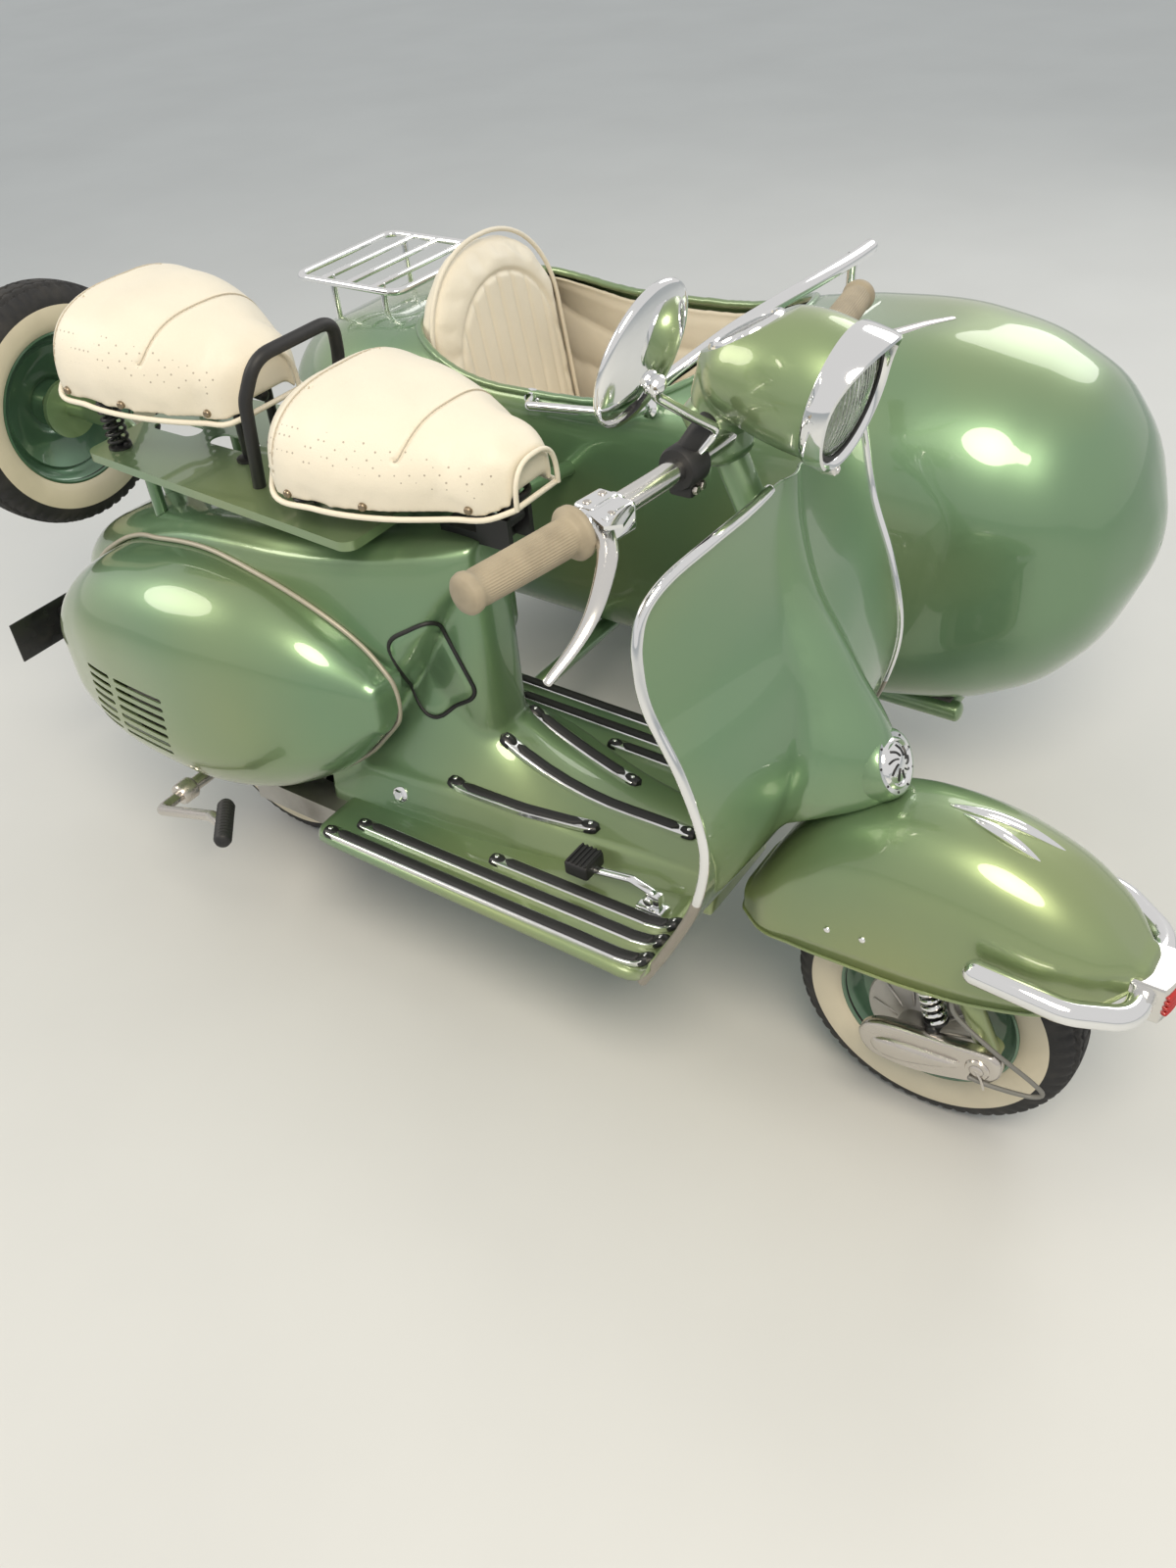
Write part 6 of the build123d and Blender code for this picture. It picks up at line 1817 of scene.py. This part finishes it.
class SCOOTER_OT_sidecar(Operator):
    """Sidecar hull with its cockpit, rolled rim, rail, handle and luggage rack"""
    bl_idname = "scooter.sidecar"
    bl_label = "Sidecar hull"

    def execute(self, context):
        first, last = COCKPIT_MIDDLE - COCKPIT_REACH, COCKPIT_MIDDLE + COCKPIT_REACH
        stations = set(along_rows(HULL_ROWS, 12))
        for end, sign in ((first, 1), (last, -1)):
            stations |= {end + sign * gap for gap in (0.0, 0.1, 0.6, 2, 5, 10)}
        rings = [hull_ring(x) for x in sorted(stations)]
        rings = shut(rings[0], -16)[::-1] + rings + shut(rings[-1], 10)
        hull = piece("hull_skin", skin(rings, closed=False), "green_paint", "root", "sidecar_hull",
                     smooth=60.0)
        thicken(hull, 3.0)
        rim = []
        for side in (1, -1):
            line = []
            for x in np.linspace(first + 0.05, last - 0.05, 121):
                share = (x - COCKPIT_MIDDLE) / COCKPIT_REACH
                x = COCKPIT_MIDDLE + COCKPIT_REACH * math.sin(math.pi / 2 * share)
                edge = hull_outline(x)[0]
                line.append(Vector((x, CAR_Y + side * edge.y, edge.z - 1)))
            rim += line if side > 0 else line[::-1]
        rim = [p for i, p in enumerate(rim) if (p - rim[i - 1]).length > 2.0]
        piece("cockpit_rim", pipe(rim, 6.5, 14, loop=True), "green_paint", "root")
        self.rail()
        self.handle()
        self.rack()
        return {"FINISHED"}

    def rail(self):
        """Curved rail in front of the cockpit, on a post and a foot."""
        path = smooth_path([(466, CAR_Y - 208, 690), (482, CAR_Y - 196, 716), (512, CAR_Y - 158, 742),
                            (552, CAR_Y - 98, 774), (592, CAR_Y - 30, 798), (616, CAR_Y + 60, 808),
                            (626, CAR_Y + 140, 811), (628, CAR_Y + 200, 812)], 8)
        tip = ball(11, range(0, 90, 15), path[-1], path[-1] - path[-2])
        post = spin([(22, 0), (22, 4), (12, 7), (8.5, 14), (8, 40), (9.5, 60), (8, 70)],
                    (620, CAR_Y + 150, 746), (0.02, 0, 1), 32)
        foot = spin([(20, -2), (20, 4), (14, 8), (11, 16)], (466, CAR_Y - 210, 686), (0.3, 0.2, 1), 32)
        piece("cockpit_rail", gather(pipe(path, 11, 24), tip, post, foot), "trim_chrome", "root",
              "sidecar_rail")

    def handle(self):
        """Grab handle on the hull's side."""
        y = CAR_Y - 244
        path = bend_path([(258, y + 26, 668), (276, y - 18, 670), (464, y - 18, 690), (482, y + 26, 692)],
                         [12, 12], 8)
        feet = [spin([(15, 0), (15, 3), (9, 6), (7, 10)], spot, (0, -1, 0.35), 28)
                for spot in ((260, y + 16, 667), (480, y + 14, 691))]
        piece("grab_handle", gather(pipe(path, 7.4, 20), *feet), "trim_chrome", "root", "side_handle")

    def rack(self):
        """Luggage rails on the hull's tail."""
        z = RACK_Z
        loop = bend_path([(-90, CAR_Y, z), (-90, CAR_Y - 130, z), (-330, CAR_Y - 130, z),
                          (-330, CAR_Y + 130, z), (-90, CAR_Y + 130, z), (-90, CAR_Y + 1, z)], 28, 8)
        parts = [pipe(loop, 6.2, 18)]
        for x in (-150, -210, -270):
            parts.append(pipe([(x, CAR_Y + y, z) for y in (-130, 130)], 5.0, 16))
        for x in (-150, -270):
            for y in (-100, 100):
                parts.append(pipe([(x, CAR_Y + y, 640), (x, CAR_Y + y, z)], 6.0, 16))
        piece("luggage_rails", gather(*parts), "trim_chrome", "root", "luggage_rack")


def channels(across, pitch):
    """How deep in a channel each place is, from none to 1, with channels a pitch apart."""
    return np.exp(-(((across + pitch / 2) % pitch - pitch / 2) / 4.0) ** 2)


class SCOOTER_OT_sidecar_seat(Operator):
    """Pleated seat back, cushion and side linings of the sidecar"""
    bl_idname = "scooter.sidecar_seat"
    bl_label = "Sidecar seat"

    def execute(self, context):
        self.back()
        self.cushion()
        self.lining()
        return {"FINISHED"}

    def back(self):
        """Arched pad with channels that run up from its foot, inside a sewn border."""
        lean = math.radians(8.0)
        normal, up = Vector((math.cos(lean), 0, math.sin(lean))), Vector((-math.sin(lean), 0, math.cos(lean)))
        foot = Vector((86, CAR_Y, 341))
        height, half, spring = 488.0, 178.0, 326.0
        outline = [(-half, 0), (half, 0), (half, spring)]
        outline += [(half * math.cos(a) ** 0.9, spring + (height - spring) * math.sin(a))
                    for a in np.linspace(0.05, 1.5, 16)]
        outline += [(-u, v) for u, v in outline[:1:-1]]
        steps = ((0.93, -62), (0.985, -56), (1.0, -44), (1.0, -30), (0.985, -18), (0.93, -9))
        rings = [[foot + Vector((0, u * size, 0)) + up * (240 + (v - 240) * size) + normal * thick
                  for u, v in outline] for size, thick in steps]
        pad = piece("seat_back", skin(rings), "cream_leather", "root", "sidecar_backrest", smooth=75.0)
        plump(pad, 12.0)
        spots = points_of(pad) - np.array(foot)
        u, v, thick = spots[:, 1], spots @ np.array(up), spots @ np.array(normal)
        inner, arch = 132, 290
        border = np.hypot(u / inner, np.maximum(0.0, v - arch) / inner) * inner - inner
        lifts = -5.0 * (channels(u, 36) * np.clip(-border / 8, 0, 1) + np.exp(-(border / 5.0) ** 2))
        push(pad, np.where(thick > -24, lifts, 0.0))
        shade(pad, 75.0)
        bead = [foot + Vector((0, u, 0)) + up * v - normal * 20 for u, v in outline[1:]]
        piece("seat_back_piping", pipe(bead, 4.2, 12), "cream_leather", "root")

    def cushion(self):
        """Seat cushion with cross channels and a sewn border."""
        low, high, half, rear, front = 336.0, 420.0, 186.0, 96.0, 496.0
        shape = block((rear, CAR_Y - half, low), (front, CAR_Y + half, high), 18.0, 4)
        pad = piece("seat_cushion", shape, "cream_leather", "root", "sidecar_cushion", smooth=75.0)
        plump(pad, 10.0)
        spots = points_of(pad) - np.array((0, CAR_Y, 0))
        x, u = spots[:, 0], spots[:, 1]
        border = np.maximum(np.abs(u) - 140, np.abs(x - (rear + front) / 2) - 158)
        lifts = -4.5 * (channels(u, 46) * np.clip(-border / 8, 0, 1) + np.exp(-(border / 5.0) ** 2))
        push(pad, np.where(spots[:, 2] > high - 14, lifts, 0.0))
        shade(pad, 75.0)

    def lining(self):
        """Padded panels inside the hull's sides, sewn in level bands."""
        for side, label in ((1, "left"), (-1, "right")):
            rows = []
            for k in range(70):
                x = -30 + 600 * k / 69
                edge = hull_outline(x, 7.0)
                line = even([p for p in edge if p.z > 330 and p.y > 60], 48)
                row = []
                for index, p in enumerate(line):
                    share = index / 47
                    band = abs(math.sin(math.pi * 4 * share))
                    puff = 9.0 * math.sqrt(band) * min(1.0, share * 12, (1 - share) * 12)
                    row.append(Vector((p.x, CAR_Y + side * (p.y - puff), p.z - 4)))
                rows.append(row)
            panel = piece("side_lining_" + label, skin(rows, closed=False), "cream_leather", "root",
                          smooth=60.0)
            thicken(panel, 3.0)
        piece("footwell_mat", block((500, CAR_Y - 150, 262), (960, CAR_Y + 150, 270), 2), "floor_mat", "root")


class SCOOTER_OT_chassis(Operator):
    """Sidecar tubes, axle and mudguard"""
    bl_idname = "scooter.chassis"
    bl_label = "Chassis"

    def execute(self, context):
        z, near, far = CHASSIS_Z, CAR_Y - 112, CAR_Y + 112
        parts = [pipe([(-220, y, z), (960, y, z)], 17, 24) for y in (near, far)]
        for x in (-200, 130, 700, 940):
            parts.append(pipe([(x, near, z), (x, far, z)], 15, 20))
        parts.append(pipe([(700, -60, z), (700, near, z)], 15, 20))
        parts.append(pipe([(320, 125, z), (320, near, z)], 15, 20))
        for x, y in ((700, -50), (700, 150), (320, 140), (320, 200)):
            parts.append(pipe([(x, y, z), (x, y, 256)], 12, 20, ends=False))
        parts.append(pipe([(330, 122, 608), (330, 421, 566)], 13, 20))
        axle = bend_path([(130, far - 20, z), (130, far + 60, z), (130, far + 130, WHEEL_R),
                          (130, 930, WHEEL_R)], [50, 50], 6)
        parts.append(pipe(axle, 16, 20))
        piece("chassis_tubes", gather(*parts), "green_paint", "root", "sidecar_chassis")
        section = [(190, -60), *corner(192, -26, 34, -90, 0, 9), (227, 0), *corner(192, 26, 34, 0, 90, 9),
                   (190, 60)]
        rings = []
        for k in range(49):
            arm = arm_at(Vector((1, 0, 0)), Vector(UP), math.radians(13.5 + 153 * k / 48))
            rings.append([SIDE_AXLE + arm * radius + Vector((0, across, 0)) for radius, across in section])
        guard = piece("sidecar_wing", skin(rings, closed=False), "green_paint", "root", "sidecar_mudguard",
                      smooth=50.0)
        thicken(guard, 2.5)
        edge = [ring[0] for ring in rings] + rings[-1][1:-1]
        edge += [ring[-1] for ring in reversed(rings)] + rings[0][1:-1][::-1]
        piece("sidecar_wing_edge", pipe(edge, 2.8, 10, loop=True), "green_paint", "root")
        stays = [block((x - 12, CAR_Y + 238, 330), (x + 12, 912, 336), 2) for x in (20, 240)]
        piece("wing_stays", gather(*stays), "green_paint", "root")
        return {"FINISHED"}


class SCOOTER_OT_frame_nodes(Operator):
    """Finish of the parts that keep their machined shape"""
    bl_idname = "scooter.frame_nodes"
    bl_label = "Plain parts"

    def execute(self, context):
        slots = {part["node"]: part["material_slot"] for part in frame["record"]["subparts"]}
        for name, thing in frame["nodes"].items():
            finish = FINISHES[slots[name]]
            if not thing.data.materials:
                thing.data.materials.append(finish)
            for slot in thing.material_slots:
                slot.material = finish
        return {"FINISHED"}


# Stage
class SCOOTER_OT_stage(Operator):
    """Pale floor, soft lamps and the camera"""
    bl_idname = "scooter.stage"
    bl_label = "Stage"

    def execute(self, context):
        settings = context.scene.scooter_stage
        self.floor(settings)
        self.world(settings)
        self.lamp("key_lamp", (1.6, -1.8, 3.2), (0.2, 0.1, 0.5), 1.6, settings.key, (1.0, 0.90, 0.74))
        self.lamp("fill_lamp", (-2.4, -1.6, 2.4), (0.0, 0.0, 0.5), 1.5, settings.fill, (1.0, 0.93, 0.82))
        self.lamp("back_lamp", (0.5, 3.0, 2.6), (0.2, 0.2, 0.6), 2.0, settings.fill, (1.0, 0.98, 0.94))
        self.camera()
        context.scene.view_settings.view_transform = "Standard"
        return {"FINISHED"}

    def floor(self, settings):
        """Wide floor that is part of the stage only."""
        mesh = bpy.data.meshes.new("floor")
        reach = 12.0
        mesh.from_pydata([(-reach, -reach, 0), (reach, -reach, 0), (reach, reach, 0), (-reach, reach, 0)], [],
                         [(0, 1, 2, 3)])
        floor = bpy.data.objects.new("floor", mesh)
        bpy.context.scene.collection.objects.link(floor)
        made = material("stage_floor", settings.floor, 0.55)
        mottle(made, "Base Color", settings.floor, darker(settings.floor, 0.94), 1.6, (0.35, 0.75), 5.0)
        mesh.materials.append(made)

    def world(self, settings):
        """Even light, and a paler backdrop for camera, glossy and transmission rays."""
        world = bpy.data.worlds.new("studio")
        bpy.context.scene.world = world
        world.use_nodes = True
        tree = world.node_tree
        tree.nodes.clear()
        paths = tree.nodes.new("ShaderNodeLightPath")
        seen = paths.outputs["Is Camera Ray"]
        for kind in ("Is Glossy Ray", "Is Transmission Ray"):
            either = tree.nodes.new("ShaderNodeMath")
            either.operation = "MAXIMUM"
            tree.links.new(seen, either.inputs[0])
            tree.links.new(paths.outputs[kind], either.inputs[1])
            seen = either.outputs[0]
        mixed = tree.nodes.new("ShaderNodeMixShader")
        tree.links.new(seen, mixed.inputs[0])
        for index, colour, strength in ((1, (0.88, 0.96, 1.0, 1.0), settings.sky),
                                        (2, (0.92, 0.90, 0.88, 1.0), 0.80)):
            light = tree.nodes.new("ShaderNodeBackground")
            light.inputs["Color"].default_value = colour
            light.inputs["Strength"].default_value = strength
            tree.links.new(light.outputs[0], mixed.inputs[index])
        tree.links.new(mixed.outputs[0], tree.nodes.new("ShaderNodeOutputWorld").inputs["Surface"])

    def lamp(self, name, spot, target, size, power, colour):
        """Round area lamp aimed at a place."""
        light = bpy.data.lights.new(name, "AREA")
        light.shape = "DISK"
        light.size = size
        light.energy = power
        light.color = colour
        lamp = bpy.data.objects.new(name, light)
        lamp.location = spot
        lamp.rotation_euler = (Vector(target) - Vector(spot)).to_track_quat("-Z", "Y").to_euler()
        bpy.context.scene.collection.objects.link(lamp)

    def camera(self):
        """Camera at the photograph's place, turn and lens."""
        yaw, pitch, roll = (math.radians(angle) for angle in (CAMERA_YAW, CAMERA_PITCH, CAMERA_ROLL))
        ahead = Vector((math.cos(pitch) * math.cos(yaw), math.cos(pitch) * math.sin(yaw), -math.sin(pitch)))
        right = Vector((math.sin(yaw), -math.cos(yaw), 0))
        up = right.cross(ahead)
        across = right * math.cos(roll) + up * math.sin(roll)
        high = up * math.cos(roll) - right * math.sin(roll)
        data = bpy.data.cameras.new("camera")
        data.sensor_fit = "VERTICAL"
        data.sensor_height = 24.0
        data.lens = CAMERA_LENS
        camera = bpy.data.objects.new("camera", data)
        camera.matrix_world = Matrix((across, high, -ahead)).transposed().to_4x4()
        camera.location = CAMERA_SPOT
        bpy.context.scene.collection.objects.link(camera)
        bpy.context.scene.camera = camera


class SCOOTER_OT_finishes(Operator):
    """Materials of every finish on the scooter"""
    bl_idname = "scooter.finishes"
    bl_label = "Finishes"

    def execute(self, context):
        make_finishes(context.scene.scooter_finishes)
        return {"FINISHED"}


STEPS = [SCOOTER_OT_finishes, SCOOTER_OT_frame_nodes, SCOOTER_OT_stage, SCOOTER_OT_shield, SCOOTER_OT_horn,
         SCOOTER_OT_rear_body, SCOOTER_OT_floor, SCOOTER_OT_covers, SCOOTER_OT_wheels, SCOOTER_OT_mudguard,
         SCOOTER_OT_bumper, SCOOTER_OT_front_fork, SCOOTER_OT_handlebar, SCOOTER_OT_headlamp,
         SCOOTER_OT_mirror, SCOOTER_OT_saddles, SCOOTER_OT_saddle_frames, SCOOTER_OT_tail, SCOOTER_OT_sidecar,
         SCOOTER_OT_sidecar_seat, SCOOTER_OT_chassis]


class SCOOTER_PT_parts(Panel):
    """Lists the steps that build the scooter"""
    bl_idname = "SCOOTER_PT_parts"
    bl_label = "Motor scooter"
    bl_space_type = "VIEW_3D"
    bl_region_type = "UI"
    bl_category = "Scooter"

    def draw(self, context):
        layout = self.layout
        for settings in (context.scene.scooter_sizes, context.scene.scooter_finishes,
                         context.scene.scooter_stage):
            for name in settings.__annotations__:
                layout.prop(settings, name)
        for step in STEPS:
            layout.operator(step.bl_idname)


CLASSES = [ScooterSizes, ScooterFinishes, StageSettings, *STEPS, SCOOTER_PT_parts]


def register():
    """Add the settings, operators and panel."""
    for item in CLASSES:
        bpy.utils.register_class(item)
    bpy.types.Scene.scooter_sizes = PointerProperty(type=ScooterSizes)
    bpy.types.Scene.scooter_finishes = PointerProperty(type=ScooterFinishes)
    bpy.types.Scene.scooter_stage = PointerProperty(type=StageSettings)


def unregister():
    """Take the settings, operators and panel away."""
    del bpy.types.Scene.scooter_sizes
    del bpy.types.Scene.scooter_finishes
    del bpy.types.Scene.scooter_stage
    for item in reversed(CLASSES):
        bpy.utils.unregister_class(item)


def main():
    """Build everything in order."""
    register()
    for step in STEPS:
        group, name = step.bl_idname.split(".")
        getattr(getattr(bpy.ops, group), name)()


if __name__ == "__main__":
    main()
